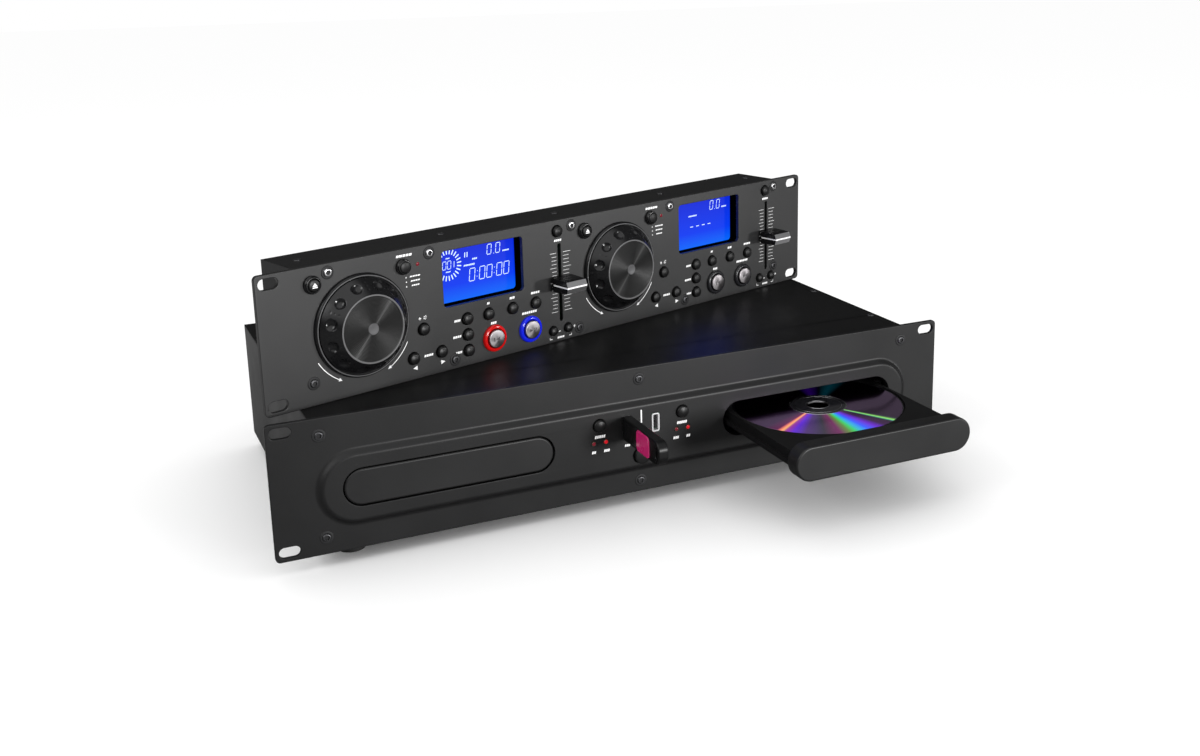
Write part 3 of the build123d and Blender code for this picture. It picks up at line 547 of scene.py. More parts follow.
def screw_head(x, z, radius, height, recess=1.6):
    """A low domed head with a six-sided recess, standing on depth 0."""
    hexagon = circle(recess, x, z, 6)
    rim = circle(radius * 0.72, x, z, 36)
    profile = [(radius * (0.72 + 0.28 * out), -height + height * 0.8 * down) for out, down in quarter(6)]
    return merged(
        flat([rim(), hexagon(0.1)], -height),
        stack(hexagon, [(0.1, -height), (0.0, -height + 0.1), (0.0, -height + 1.0)]),
        lathe(profile + [(radius, 0.0)], 36, x, z),
    )


def screws(unit, space, spots, bright_count, top_spots, top_level):
    """All the screws of one unit: those of the front, in dark cups, and those of the cover; black floors in
    their sockets are painted shade.
    """
    radius, height, floor = 2.75, 1.4, 1.65
    inner, outer = 2.7, 4.3
    cup = [(inner, -0.05), (inner + 0.15, -0.45), (outer - 0.5, -0.5), (outer - 0.1, -0.25), (outer, 0.0)]
    heads = [screw_head(x, z, radius, height) for x, z in spots]
    bright, dark = heads[:bright_count], heads[bright_count:]
    black = [lathe(cup, 36, x, z) for x, z in spots]
    # Black floors down in the six-sided sockets: painted shade.
    black += [flat([circle(floor, x, z, 6)()], -height + 0.95) for x, z in spots]
    top_head = upright(screw_head(0, 0, 2.8, 0.6, 1.2))
    # The cover screws' socket floors are black too: painted shade.
    top_socket_shade = upright(flat([circle(1.25, 0, 0, 6)()], 0.3))
    for x, y in top_spots:
        dark.append(moved(top_head, x, y, top_level))
        black.append(moved(top_socket_shade, x, y, top_level + 0.35))
    body = unit + "_unit"
    if bright:
        put(unit + "_bright_screws", merged(*bright), screw_silver, "screw_steel", body, space=space)
    put(unit + "_dark_screws", merged(*dark), screw_black, "screw_steel", body, space=space,
        replaces=[unit + "_screws"])
    put(unit + "_screw_cups_and_socket_shade", merged(*black), black_matte, "screw_steel", body, space=space)


def dome(radius, proud, back, crown=0.45, edge=1.4):
    """A domed button cap that stands proud of depth 0 and reaches back."""
    steps = 8
    profile = [(0.0, -proud)]
    for n in range(1, steps + 1):
        share = n / steps
        profile.append(((radius - edge) * share, -proud + crown * share ** 2))
    for out, down in quarter(steps)[1:]:
        profile.append((radius - edge + edge * out, -proud + crown + edge * down))
    return lathe(profile + [(radius, back), (0.0, back)], 56)


def link_sockets(unit, space, way, z, back):
    """Round multi-pin sockets on a back wall: a metal ring, a dark floor and pins."""
    pins = []
    for n in range(8):
        angle = math.radians(25 + n * 44)
        pins.append(facing_back(lathe([(0.0, 1.8), (0.35, 2.0), (0.42, 2.6), (0.42, 6.6)], 12,
                                      3.6 * math.cos(angle), 3.6 * math.sin(angle))))
    ring = lathe([(7.05, 0.3), (7.05, -0.8), (6.8, -1.05), (6.2, -1.05), (5.8, -0.8), (5.8, 7.6)], 48)
    floor = lathe([(5.8, 6.4), (0.0, 6.4)], 48)
    pieces = (
        ("ring", facing_back(ring), bright_metal, "mechanism_steel"),
        ("floor", facing_back(floor), black_matte, "circuit_board"),
        ("pins", merged(*pins), bright_metal, "mechanism_steel"),
    )
    for offset in LINK_OFFSETS:
        for name, part, material, slot in pieces:
            put(f"{unit}_link_{int(offset)}_{name}", part, material, slot, unit + "_unit",
                (way * offset, back, z), space=space)


# ---- drive unit ----
DRIVE_DEPTH = 239.0
SLOT_LEVEL, SLOT_HEIGHT, SLOT_WIDTH = 40.65, 25.1, 137.0
FIELD_WIDTH, FIELD_HEIGHT, FIELD_RISE, FIELD_SLOPE = 429.6, 50.5, 3.0, 4.8
TRAY_X = abs(centre_of("left_tray_front", DRIVE).x)
FIELD_HOLES = ((4.65, -30.3, 53.0), (4.65, 30.3, 53.0), (6.3, 0.0, 27.3))  # radius, x, z
LAMPS, LAMP_LEVEL, LAMP_HOLE = ((25.9, True), (34.6, False)), 41.0, 1.7
USB_X, USB_Z, USB_WIDTH, USB_HEIGHT = 10.5, 48.5, 5.7, 13.1
SCREW_X, FIRST_COVER_SCREW = 210.3, 36.7
DRIVE_SCREWS = [(x, middle + reach) for x, middle, reach in (
    (-SCREW_X, 44.0, 33.0), (-SCREW_X, 44.0, -33.0), (0.0, 44.0, 36.0), (0.0, 44.0, -36.0),
    (SCREW_X, 44.0, 33.0), (SCREW_X, 44.0, -33.0))]


def drive_front():
    """The front plate with its raised field, slots and holes."""
    outer, slots = panel_outline(), rack_slots()
    field = rounded(FIELD_WIDTH, FIELD_HEIGHT, FIELD_HEIGHT / 2, 0, SLOT_LEVEL, steps=24)
    edge, well_edge, well_back, hole_edge, foot = 0.45, 0.35, 0.2, 0.25, 0.6
    parts = [flat([outer(-edge), field(foot)] + [slot(edge) for slot in slots], 0.0)]
    parts.append(stack(outer, edge_levels(0.0, PANEL_THICKNESS, edge, -1)))
    parts += [stack(slot, edge_levels(0.0, PANEL_THICKNESS, edge, 1)) for slot in slots]
    swell = []
    for n in range(13):
        share = n / 12
        climb = share - math.sin(2 * math.pi * share) / (2 * math.pi)
        swell.append((foot - (FIELD_SLOPE + 1.2) * share, -FIELD_RISE * climb))
    parts.append(stack(field, swell))
    wells = [
        rounded(SLOT_WIDTH, SLOT_HEIGHT, SLOT_HEIGHT / 2, side * TRAY_X, SLOT_LEVEL, steps=20)
        for side in SIDES
    ]
    holes = [circle(radius, x, z) for radius, x, z in FIELD_HOLES]
    holes += [circle(LAMP_HOLE, side * x, LAMP_LEVEL, 24) for side in SIDES for x, _ in LAMPS]
    holes += [rounded(USB_WIDTH + 0.6, USB_HEIGHT + 0.6, 1.0, side * USB_X, USB_Z, 5) for side in SIDES]
    rims = [hole(hole_edge) for hole in holes]
    parts.append(flat([field(swell[-1][0])] + [well(well_edge) for well in wells] + rims, -FIELD_RISE))
    well_levels = edge_levels(-FIELD_RISE, PANEL_THICKNESS, well_edge, 1, well_back)
    parts += [stack(well, well_levels) for well in wells]
    parts += [stack(hole, edge_levels(-FIELD_RISE, PANEL_THICKNESS, hole_edge, 1)) for hole in holes]
    back = [outer(-edge)] + [slot(edge) for slot in slots] + [well(well_back) for well in wells] + rims
    parts.append(flat(back, PANEL_THICKNESS))
    put("drive_front", merged(*parts), drive_paint_painted_shade, "front_paint", replaces=["drive_front_panel"], angle=50)


def drive_marks():
    """Plain marks on the raised field: bars for words, a line between the sockets, a power sign."""
    parts = [stroke([(0.0, 50.0), (0.0, 59.0)], 0.9)]
    for side in SIDES:
        parts += [dashes(side * 30.1, 45.3, 7.6, 5, 1.9), dashes(side * 34.7, 34.9, 3.0, 2, 1.8),
                  dashes(side * 25.5, 34.9, 4.2, 3, 1.8)]
    parts += [dashes(-USB_X, 35.8, 4.0, 3, 1.6), arc(0.0, 35.9, 1.5, 120, 420, 0.45),
              stroke([(0.0, 36.1), (0.0, 38.0)], 0.45)]
    put("drive_marks", printed(merged(*parts), -FIELD_RISE), white_print, "front_paint")


def drive_lamps():
    for side, deck in zip(SIDES, DECKS):
        for x, near in LAMPS:
            bright = near == (side < 0)
            put(deck + ("_bright_lamp" if bright else "_dim_lamp"), dome(1.5, 0.9, 4.0, 0.2, 1.1),
                lamp_bright if bright else lamp_dim, "display", at=(side * x, -FIELD_RISE, LAMP_LEVEL))


def usb_mouth(side, deck):
    """A socket's metal frame with its inner walls, its tongue and its contacts."""
    x = side * USB_X
    shell = rounded(USB_WIDTH, USB_HEIGHT, 1.6, x, USB_Z, 5)
    inside = rounded(USB_WIDTH - 2.2, USB_HEIGHT - 2.0, 0.6, x, USB_Z, 5)
    front = -FIELD_RISE - 0.25
    metal = merged(
        flat([shell(-0.2), inside(0.15)], front),
        stack(shell, edge_levels(front, 4.0, 0.2, -1)),
        stack(inside, [(0.15, front), (0.0, front + 0.15), (0.0, 9.5)]),
    )
    tongue = block(x + 0.15, x + 1.75, -0.9, 9.5, USB_Z - 4.6, USB_Z + 4.6, 0.15)
    pads = merged(*[
        block(x, x + 0.16, -0.5, 6.0, USB_Z + n * 2.4 - 0.55, USB_Z + n * 2.4 + 0.55, 0.05)
        for n in (-1.5, -0.5, 0.5, 1.5)
    ])
    put("usb_frame_" + deck, metal, pale_metal, "mechanism_steel")
    put("usb_tongue_" + deck, tongue, black_matte, "frame_plastic")
    put("usb_contacts_" + deck, pads, bright_metal, "mechanism_steel")


def tray_fascia(deck):
    """The bar on a tray's front: a stadium with a swelling face and a fine back edge."""
    node = deck + "_tray_front"
    low, high = local_box(node, DRIVE)
    middle = (low + high) / 2
    width, height, depth = high.x - low.x, high.z - low.z, high.y - low.y
    edge = 1.3
    levels = [(-edge * (1 - out), edge * down) for out, down in quarter(12)]
    levels += [(0.0, depth - 0.5), (-0.15, depth - 0.15), (-0.5, depth)]
    part = stack(rounded(width, height, height / 2, steps=24), levels, close_front=True, close_back=True)
    put(deck + "_fascia", part, fascia_plastic, "fascia_plastic", deck + "_tray",
        (middle.x, low.y, middle.z), [node], 60)


# The disc's own two tones, and a painted rainbow reflection: the colours it throws back, made to glow, at
# (share of the turn, colour).
FILM = (0.72, 0.46, 0.80)
DARK_FILM = (0.45, 0.28, 0.55)
NONE = (0, 0, 0)
PAINTED_RAINBOW = (
    (0.000, NONE), (0.060, (0.02, 0.01, 0.03)), (0.087, (0.10, 0.01, 0.06)), (0.092, (0.95, 0.20, 0.16)),
    (0.097, (1.00, 0.50, 0.12)), (0.102, (0.30, 0.03, 0.25)), (0.118, (0.09, 0.01, 0.62)),
    (0.140, (0.05, 0.02, 0.14)), (0.175, (0.01, 0.02, 0.02)), (0.206, (0.14, 0.01, 0.08)),
    (0.222, (0.10, 0.22, 0.02)), (0.234, (0.02, 0.62, 0.10)), (0.247, (0.01, 0.42, 0.72)),
    (0.262, (0.02, 0.10, 1.00)), (0.282, (0.12, 0.01, 0.60)), (0.300, (0.02, 0.00, 0.04)), (0.326, NONE),
    (0.3300, (0.05, 0.55, 0.35)), (0.3335, (0.42, 1.00, 0.02)), (0.3375, (0.02, 0.10, 0.06)), (0.345, NONE),
    (0.600, NONE), (0.630, (0.00, 0.02, 0.03)), (0.660, NONE), (0.700, (0.01, 0.00, 0.06)), (0.730, NONE),
    (1.000, NONE),
)


def disc_painted_rainbow():
    """A read side's rainbow as a painted reflection: glowing streaks by the angle about the disc's centre."""
    # The rainbow streaks glow through the emission: a painted reflection.
    made = plain("disc_film", FILM, 0.14, 1.0, Emission_Strength=1.0)
    tree = made.node_tree
    place, split = add(tree, "TexCoord"), add(tree, "SeparateXYZ")
    wire(place, "Object", split, "Vector")
    angle = add(tree, "Math")
    angle.operation = "ARCTAN2"
    wire(split, "Y", angle, 0)
    wire(split, "X", angle, 1)
    share = add(tree, "MapRange", From_Min=-math.pi, From_Max=math.pi)
    wire(angle, "Value", share, "Value")
    ramp = bands(tree, PAINTED_RAINBOW)
    wire(share, "Result", ramp, "Fac")
    wire(ramp, "Color", made.node_tree.nodes[SHADER], "Emission Color")
    clouds = add(tree, "TexNoise", Scale=9.0, Detail=1.0)
    wire(place, "Object", clouds, "Vector")
    tint = blend(tree, DARK_FILM, FILM)
    wire(clouds, "Fac", tint, "Factor")
    wire(tint, "Result", made.node_tree.nodes[SHADER], "Base Color")
    return made


def disc():
    """The disc: a film with its painted rainbow reflection, a clear rim, a dark hub and its bright moulded
    rings.
    """
    low, high = local_box("compact_disc", DRIVE)
    middle = (low + high) / 2
    top, thick = high.z - middle.z, high.z - low.z

    def ring(inner, outer, above=0.0, bevel=0.12):
        profile = [
            (inner, -top + bevel - above), (inner + bevel, -top - above), (outer - bevel, -top - above),
            (outer, -top + bevel - above), (outer, -top + thick - bevel), (outer - bevel, -top + thick),
            (inner + bevel, -top + thick), (inner, -top + thick - bevel), (inner, -top + bevel - above)]
        return upright(lathe(profile, 128))

    clear = plain("disc_clear", (0.012, 0.012, 0.014), 0.1)
    mirror = plain("disc_mirror", (0.85, 0.85, 0.88), 0.22, 1.0)
    mirrored = merged(ring(7.5, 8.5, 0.05), ring(19.4, 20.4, 0.05), ring(16.5, 16.9, 0.1, 0.05))
    for name, part, material, replaces in (
            ("disc_film", ring(20.4, 59.2), disc_painted_rainbow(), ["compact_disc"]),
            ("disc_rim", ring(59.2, 60.0), clear, ()),
            ("disc_mirror_rings", mirrored, mirror, ()),
            ("disc_hub", ring(8.5, 19.4), clear, ())):
        put(name, part, material, "disc_plastic", "disc", (middle.x, middle.y, middle.z), replaces)


def stick():
    """The memory stick: a ribbed black body with an eye, a coloured slider and a metal plug."""
    low, high = local_box("usb_stick", DRIVE)
    x, z = (low.x + high.x) / 2, (low.z + high.z) / 2
    front, back = low.y, -FIELD_RISE - 0.3
    height, half = high.z - low.z, 3.5

    def side_outline(grow=0.0):
        """The body seen from the side: Y along X and Z up, its outer end rounded."""
        radius = height / 2 * 0.8 + grow
        points = []
        for way, first in ((1, 90), (-1, 180)):
            for n in range(13):
                angle = math.radians(first + 90 * n / 12)
                level = way * (height / 2 + grow - radius) + radius * math.sin(angle)
                points.append((front + radius - grow + radius * math.cos(angle), level))
        return points + [(back + grow, -height / 2 - grow), (back + grow, height / 2 + grow)]

    def sideways(part):
        return [(x + b, a, z + c) for a, b, c in part[0]], part[1]

    eye = rounded(3.0, 7.4, 1.5, front + 4.6, 0.0, 6)
    body = [sideways(plate(side_outline, [eye], -half, half, 0.9))]
    for n in range(5):
        y = back - 6.5 - n * 2.2
        body.append(block(x - half - 0.25, x + half + 0.25, y - 0.45, y + 0.45, z - 5.5, z + 5.5, 0.2))
    put("stick_body", merged(*body), stick_black, "stick_plastic", "usb_stick", replaces=["usb_stick"])
    slider = rounded(19.5, 14.6, 3.2, (front + back) / 2 - 4.6, 0.0, 8)
    slider = stack(slider, edge_levels(-half - 0.75, half + 0.75, 0.7, -1), True, True)
    pink = grained("slider_pink", (0.42, 0.012, 0.11), 0.3, grain=900.0, bump=0.03, tone=0.12,
                   Coat_Weight=0.35)
    put("stick_slider", sideways(slider), pink, "stick_plastic", "usb_stick")
    plug = block(x - 2.2, x + 2.2, back, -FIELD_RISE + 10.8, z - 6.0, z + 6.0, 0.15)
    put("stick_plug", plug, bright_metal, "mechanism_steel", "usb_stick")


def drive_buttons():
    source, power = dome(4.35, 3.0, 5.0), dome(6.0, 3.0, 5.0, 0.3, 1.0)
    for name, cap in (("left_source", source), ("right_source", source), ("power", power)):
        node = name + "_button"
        middle = centre_of(node, DRIVE)
        put(name + "_cap", cap, button_rubber, "button_rubber", node, (middle.x, -FIELD_RISE, middle.z),
            [node])


def feet():
    low, high = local_box("rubber_feet", DRIVE)
    radius, height = 10.0, high.z - low.z
    corners, faces = lathe([
        (3.5, 4.0), (3.5, 0.4), (4.0, 0.0), (radius - 2.0, 0.0), (radius - 1.3, 0.25), (radius - 1.0, 0.9),
        (radius, height - 0.8), (radius - 0.3, height), (0.0, height)], 48)
    foot = [(a, c, b) for a, b, c in corners], faces
    made = [moved(foot, x, y, low.z) for x in (low.x + radius, high.x - radius)
            for y in (low.y + radius, high.y - radius)]
    put("feet", merged(*made), foot_rubber, "foot_rubber", replaces=["rubber_feet"])


def audio_sockets(back):
    """Finish on the rear audio sockets: coloured collars and insulators, bright sleeves."""
    shapes = (
        ("collar", [(4.2, 0.0), (6.4, 0.0), (6.4, -1.4), (5.9, -1.9), (4.25, -1.9)]),
        ("sleeve", [(4.2, -0.5), (4.2, -8.7), (3.95, -9.0), (3.5, -9.02), (3.3, -8.8), (3.3, -1.5)]),
        ("insulator", [(3.3, -9.01), (2.0, -9.05), (1.85, -8.9), (1.8, -1.0), (0.0, -1.0)]),
    )
    for x in (66, 44):
        for z, colour, finish in ((55.0, "white", phono_white), (37.0, "red", phono_red)):
            for name, profile in shapes:
                material, slot = finish, "circuit_board"
                if name == "sleeve":
                    material, slot = bright_metal, "mechanism_steel"
                put(f"phono_{colour}_{x}_{name}", facing_back(lathe(profile, 40)), material, slot,
                    at=(-x, back, z))


# ---- control unit ----
JOG_RIM, JOG_CROWN, JOG_HEIGHT, JOG_BASE = 31.1, 22.0, 14.0, 3.2
SMALL_BUTTONS = ("plus_ten", "track_back", "track_forward", "time", "single", "program",
                 "loop_in", "loop_out", "reloop", "pitch")
BEND_BUTTONS = ("bend_down", "bend_up")
# Buttons, the radius of their holes in the plate and the corners of each hole.
BUTTON_HOLES = ((SMALL_BUTTONS, 4.3, 40), (BEND_BUTTONS, 3.6, 40), (("eject", "jog_mode"), 4.15, 56),
                (("cue", "play"), 6.75, 56))
DISPLAY_WIDTH, DISPLAY_HEIGHT, DISPLAY_CORNER, DISPLAY_SETBACK = 65.6, 38.0, 2.5, 10.0
DECK_STEP = centre_of("right_jog_wheel", CONTROL).x - centre_of("left_jog_wheel", CONTROL).x
SCREW_SPAN = 429.2
CONTROL_SCREWS = [
    ((share - 0.5) * SCREW_SPAN, height * PANEL_HEIGHT) for share, height in (
        (0.049, 0.935), (0.2195, 0.935), (0.4956, 0.935), (0.7195, 0.935), (0.989, 0.935),
        (0.0147, 0.166), (0.2563, 0.074), (0.507, 0.074), (0.754, 0.074), (0.990, 0.183))
]
TOP_SCREWS = [((share - 0.5) * SCREW_SPAN, 24.0) for share in (0.034, 0.28, 0.5065, 0.749, 0.972)]


def place_on(deck, node):
    middle = centre_of(deck + "_" + node, CONTROL)
    return middle.x, middle.z


def put_on(deck, name, part, material, slot, place, body="control_unit", **more):
    """Puts a piece of one deck at an (x, z) place on the control unit's front."""
    put(deck + "_" + name, part, material, slot, body, (place[0], 0, place[1]), space=CONTROL, **more)


def shift_of(deck):
    return DECK_STEP if deck == "right" else 0.0


def display_place(deck):
    return -77.9 + shift_of(deck), 62.2


def control_front():
    """The front plate with every hole that a control comes through."""
    holes = rack_slots()
    for deck in DECKS:
        for names, radius, steps in BUTTON_HOLES:
            holes += [circle(radius, *place_on(deck, name + "_button"), steps) for name in names]
        holes.append(rounded(2.6, 56.4, 1.3, place_on(deck, "pitch_slider")[0], 42.77, 5))
        holes.append(rounded(DISPLAY_WIDTH, DISPLAY_HEIGHT, DISPLAY_CORNER, *display_place(deck), 6))
    part = plate(panel_outline(), holes, 0.0, PANEL_THICKNESS, 0.4)
    put("control_front", part, control_paint_painted_light, "front_paint", "control_unit", replaces=["control_front_panel"],
        angle=50, space=CONTROL)


def deck_marks(deck):
    """One deck's plain marks: bars for words, arrows, arcs, figures and the fader's scale."""
    shift, white = shift_of(deck), []
    jog_x, jog_z = place_on(deck, "jog_wheel")
    for start, end in ((209, 241), (-29, -61)):
        tip, reach = math.radians(end), 36.6
        white.append(arc(jog_x, jog_z, reach, start, end, 0.5))
        white.append(arrow_head(jog_x + reach * math.cos(tip), jog_z + reach * math.sin(tip), 1.5,
                                end + (90 if end > 0 else -90)))
    white.append(dashes(-139.0 + shift, 83.6, 12.0, 5, 1.5))
    for n in range(3):
        drop = n * 3.0
        white.append(polygon([(-138.9 + shift, 68.6 - drop), (-137.9 + shift, 68.6 - drop),
                              (-138.4 + shift, 69.6 - drop)]))
        white.append(dashes(-131.7 + shift, 69.1 - drop, 8.0 - n, 4, 0.85))
    x, z = place_on(deck, "plus_ten_button")
    white += [
        stroke([(x - 3.4, z + 7.6), (x - 1.4, z + 7.6)], 0.5),
        stroke([(x - 2.4, z + 6.6), (x - 2.4, z + 8.6)], 0.5),
        digits("10", x - 0.6, z + 6.6, 2.2, 0.5, 0.2, 0.75), dashes(-124.9 + shift, 14.1, 7.0, 4, 1.5),
        arrow_head(-135.4 + shift, 7.6, 1.9, 180), arrow_head(-114.3 + shift, 7.2, 1.9, 0),
    ]
    for name, length in (("time", 5.0), ("single", 6.6), ("program", 5.0)):
        x, z = place_on(deck, name + "_button")
        white.append(dashes(x - 5.4 - length / 2, z + 0.1, length, 4, 1.5))
    # Button, how far its word stands to the right and above, the word's length, bars and height.
    for name, right, above, length, count, tall in (
            ("loop_in", 0.0, 7.4, 2.2, 2, 1.5), ("loop_out", 0.0, 7.4, 4.6, 2, 1.5),
            ("reloop", 0.0, 7.4, 7.6, 4, 1.5), ("cue", 0.0, 10.7, 4.8, 3, 1.6),
            ("play", 0.0, 12.0, 13.0, 7, 1.6), ("pitch", 0.6, -6.6, 6.6, 4, 1.5)):
        x, z = place_on(deck, name + "_button")
        white.append(dashes(x + right, z + above, length, count, tall))
    x, _ = place_on(deck, "pitch_slider")
    for n in range(17):
        level, longer = 21.9 + n * 2.66, n % 4 == 0
        white.append(stroke([(x - 8.6 + (0.0 if longer else 1.4), level), (x - 3.0, level)], 0.24))
        white.append(stroke([(x + 3.0, level), (x + 8.2 + (1.6 if longer else 0.0), level)], 0.24))
    down_x, down_z = place_on(deck, "bend_down_button")
    up_x, up_z = place_on(deck, "bend_up_button")
    white += [
        stroke([(down_x - 3.0, 4.0), (down_x - 3.0, 2.6), (down_x - 0.8, 2.6)], 0.4),
        stroke([(up_x + 3.0, 4.0), (up_x + 3.0, 2.6), (up_x + 0.8, 2.6)], 0.4),
        dashes((down_x + up_x) / 2, 2.9, 6.4, 4, 1.4),
        stroke([(down_x + 5.0, down_z - 1.2), (down_x + 6.8, down_z - 1.2)], 0.45),
        stroke([(up_x + 5.0, up_z), (up_x + 6.8, up_z)], 0.45),
        stroke([(up_x + 5.9, up_z - 0.9), (up_x + 5.9, up_z + 0.9)], 0.45),
    ]
    return white


def control_marks():
    marks = merged(*[mark for deck in DECKS for mark in deck_marks(deck)])
    put("control_marks", printed(marks), white_print, "front_paint", "control_unit", space=CONTROL)


def jog_bezels():
    """The ring round each jog wheel, with a fine grey line inside it, a painted highlight on its crest, and a
    dark floor.
    """
    ring = lathe([(33.6, 0.0), (33.6, -1.0), (33.3, -1.9), (32.8, -2.6), (32.3, -2.85), (31.8, -2.85),
                  (31.5, -2.4), (31.5, 1.5)], 128)
    # A grey bead on the ring's crest: a painted highlight.
    line = lathe([(32.5, -2.7), (32.35, -2.95), (32.1, -3.05), (31.85, -2.95), (31.7, -2.7)], 128)
    base = lathe([(31.5, 0.2), (0.0, 0.2)], 96)
    for deck in DECKS:
        place = place_on(deck, "jog_wheel")
        put_on(deck, "jog_ring", ring, black_gloss, "bezel_plastic", place,
               replaces=["control_bezels"] if deck == "left" else ())
        put_on(deck, "jog_ring_painted_highlight", line, rim_line, "bezel_plastic", place)
        put_on(deck, "jog_base", base, black_matte, "bezel_plastic", place)


def jog_slope(spokes, rings=40):
    """The wheel's sloping side: twelve finger dimples with three small raised dots between them."""
    run, rise = JOG_RIM - JOG_CROWN, JOG_HEIGHT - JOG_BASE
    slope = math.hypot(run, rise)
    middle, ball, depth, dot, pitch = (JOG_RIM + JOG_CROWN) / 2, 4.9, 1.7, 0.95, math.pi / 6
    rim_reach = math.sqrt(ball ** 2 - (ball - depth) ** 2)
    corners, faces = [], []
    for j in range(rings + 1):
        share = j / rings
        radius = JOG_CROWN + run * share
        along = (share - 0.5) * slope
        swell = 0.9 * math.sin(math.pi * share)
        for i in range(spokes):
            angle = 2 * math.pi * i / spokes
            nearest = (angle / pitch - 0.5 - round(angle / pitch - 0.5)) * pitch
            distance = math.hypot(nearest * middle, along)
            cut = math.sqrt(ball ** 2 - distance ** 2) - (ball - depth) if distance < rim_reach else 0.0
            between = (angle / pitch - round(angle / pitch)) * pitch * middle
            for spot in (-2.9, 0.0, 2.9):
                away = math.hypot(between, along - spot)
                if away < dot:
                    cut += 0.22 * (1 + math.cos(math.pi * away / dot)) / 2
            out = swell * 0.5 - cut
            r = radius + out * rise / slope
            corners.append((r * math.cos(angle), -(JOG_HEIGHT - rise * share) - out * run / slope,
                            r * math.sin(angle)))
    for j in range(rings):
        for i in range(spokes):
            a, b = j * spokes + i, j * spokes + (i + 1) % spokes
            faces.append((a, b, b + spokes, a + spokes))
    return corners, faces


def jog_wheels():
    """The wheels: a dimpled slope, a lip as a fine line, a grooved crown with a painted highlight and a hub."""
    spokes, crown, top = 360, JOG_CROWN, -JOG_HEIGHT
    side = merged(jog_slope(spokes), lathe([(JOG_RIM, -JOG_BASE), (JOG_RIM, -0.2)], spokes))
    lip = lathe([(crown + 0.15, top + 0.2), (crown, top - 0.05), (crown - 0.3, top - 0.2),
                 (crown - 0.7, top - 0.2), (crown - 0.95, top - 0.05), (crown - 1.0, top + 0.5)], spokes)
    grooves = []
    radius, floor = crown - 1.0, top + 0.5
    while radius > 4.4:
        grooves += [(radius, floor), (radius - 0.5, floor), (radius - 0.58, floor + 0.09),
                    (radius - 0.7, floor + 0.09)]
        radius -= 0.78
    disc_top = lathe(grooves + [(3.6, floor), (0.0, floor)], 160)
    hub = lathe([(0.0, floor - 0.2), (1.8, floor - 0.25), (3.0, floor - 0.35), (3.5, floor - 0.35),
                 (3.75, floor)], 64)
    for deck in DECKS:
        body = deck + "_jog_wheel"
        place = place_on(deck, "jog_wheel")
        put_on(deck, "jog_body", side, jog_gloss, "jog_plastic", place, body, replaces=[body], angle=30)
        put_on(deck, "jog_lip", lip, rim_line, "jog_plastic", place, body)
        put_on(deck, "jog_crown", disc_top, jog_crown_painted_highlight, "jog_plastic", place, body, angle=80)
        put_on(deck, "jog_hub", hub, hub_metal, "jog_plastic", place, body)


def collar(outer, height=3.0):
    return lathe([(outer, 0.0), (outer, -height * 0.45), (outer - 0.5, -height * 0.6), (outer - 0.9, -height),
                  (outer - 1.3, -height - 0.05), (4.2, -height + 0.15), (4.1, 1.0)], 48)


def control_buttons():
    """Every button's cap, with the collars, rings and signs that some have, and a lamp a deck."""
    small, bend, tall = dome(4.0, 3.0, 2.5), dome(3.3, 3.0, 2.5), dome(3.9, 4.0, 2.5, 0.3, 1.0)
    caps = [(name, small) for name in SMALL_BUTTONS] + [(name, bend) for name in BEND_BUTTONS]
    caps += [("eject", tall), ("jog_mode", tall)]
    silver = dome(6.5, 4.0, 2.5, 0.35, 0.8)
    ring = lathe([(9.4, 0.0), (9.4, -1.1), (9.0, -1.9), (8.2, -2.35), (7.3, -2.3), (6.9, -1.9), (6.8, 1.5)], 72)
    eject_sign = merged(polygon([(-1.7, -0.5), (1.7, -0.5), (0.0, 1.8)]),
                        polygon([(-1.7, -1.5), (1.7, -1.5), (1.7, -0.9), (-1.7, -0.9)]))
    cue_sign = merged(stroke([(-2.6, -1.5), (-2.6, 1.5)], 0.7), arrow_head(0.6, 0.0, 1.9, 180))
    play_sign = merged(arrow_head(-1.7, 0.0, 1.5, 0), stroke([(0.9, -1.4), (0.9, 1.4)], 0.7),
                       stroke([(2.3, -1.4), (2.3, 1.4)], 0.7))
    collars = {"eject": collar(5.8), "jog_mode": collar(5.3)}
    for deck in DECKS:
        for name, cap in caps:
            body, place = deck + "_" + name + "_button", place_on(deck, name + "_button")
            if name in collars:
                put_on(deck, name + "_collar", collars[name], black_gloss, "bezel_plastic", place)
            put_on(deck, name + "_cap", cap, button_rubber, "button_rubber", place, body, replaces=[body])
        put_on(deck, "eject_sign", moved(eject_sign, y=-4.06), white_print, "button_rubber",
               place_on(deck, "eject_button"), deck + "_eject_button")
        for name, glow, sign in (("cue", red_ring, cue_sign), ("play", blue_ring, play_sign)):
            body, place = deck + "_" + name + "_button", place_on(deck, name + "_button")
            put_on(deck, name + "_ring", ring, glow if deck == "left" else dark_ring, "bezel_plastic", place)
            put_on(deck, name + "_cap", silver, silver_cap, "silver_cap", place, body, replaces=[body])
            put_on(deck, name + "_sign", moved(sign, y=-4.05), dark_print, "silver_cap", place, body)
        put_on(deck, "mode_lamp", dome(1.5, 0.9, 3.0, 0.2, 1.1), lamp_dim, "display",
               (-129.4 + shift_of(deck), 76.5))


def across(section, half, bevel=0.35):
    """A (y, z) section drawn out to both sides of X, its ends drawn in a little."""
    corners, faces, before = [], [], None
    middle_y = sum(y for y, _ in section) / len(section)
    for offset, shrink in ((-half, bevel), (-half + bevel, 0.0), (half - bevel, 0.0), (half, bevel)):
        start = len(corners)
        corners += [(offset, middle_y + (y - middle_y) * (1 - shrink / 14.0), level * (1 - shrink / 6.0))
                    for y, level in section]
        ring = list(range(start, len(corners)))
        faces += bridge(before, ring) if before else [tuple(ring)]
        before = ring
    return corners, faces + [tuple(before)]


def mirrored_down(section):
    return [(y, -level) for y, level in reversed(section)]


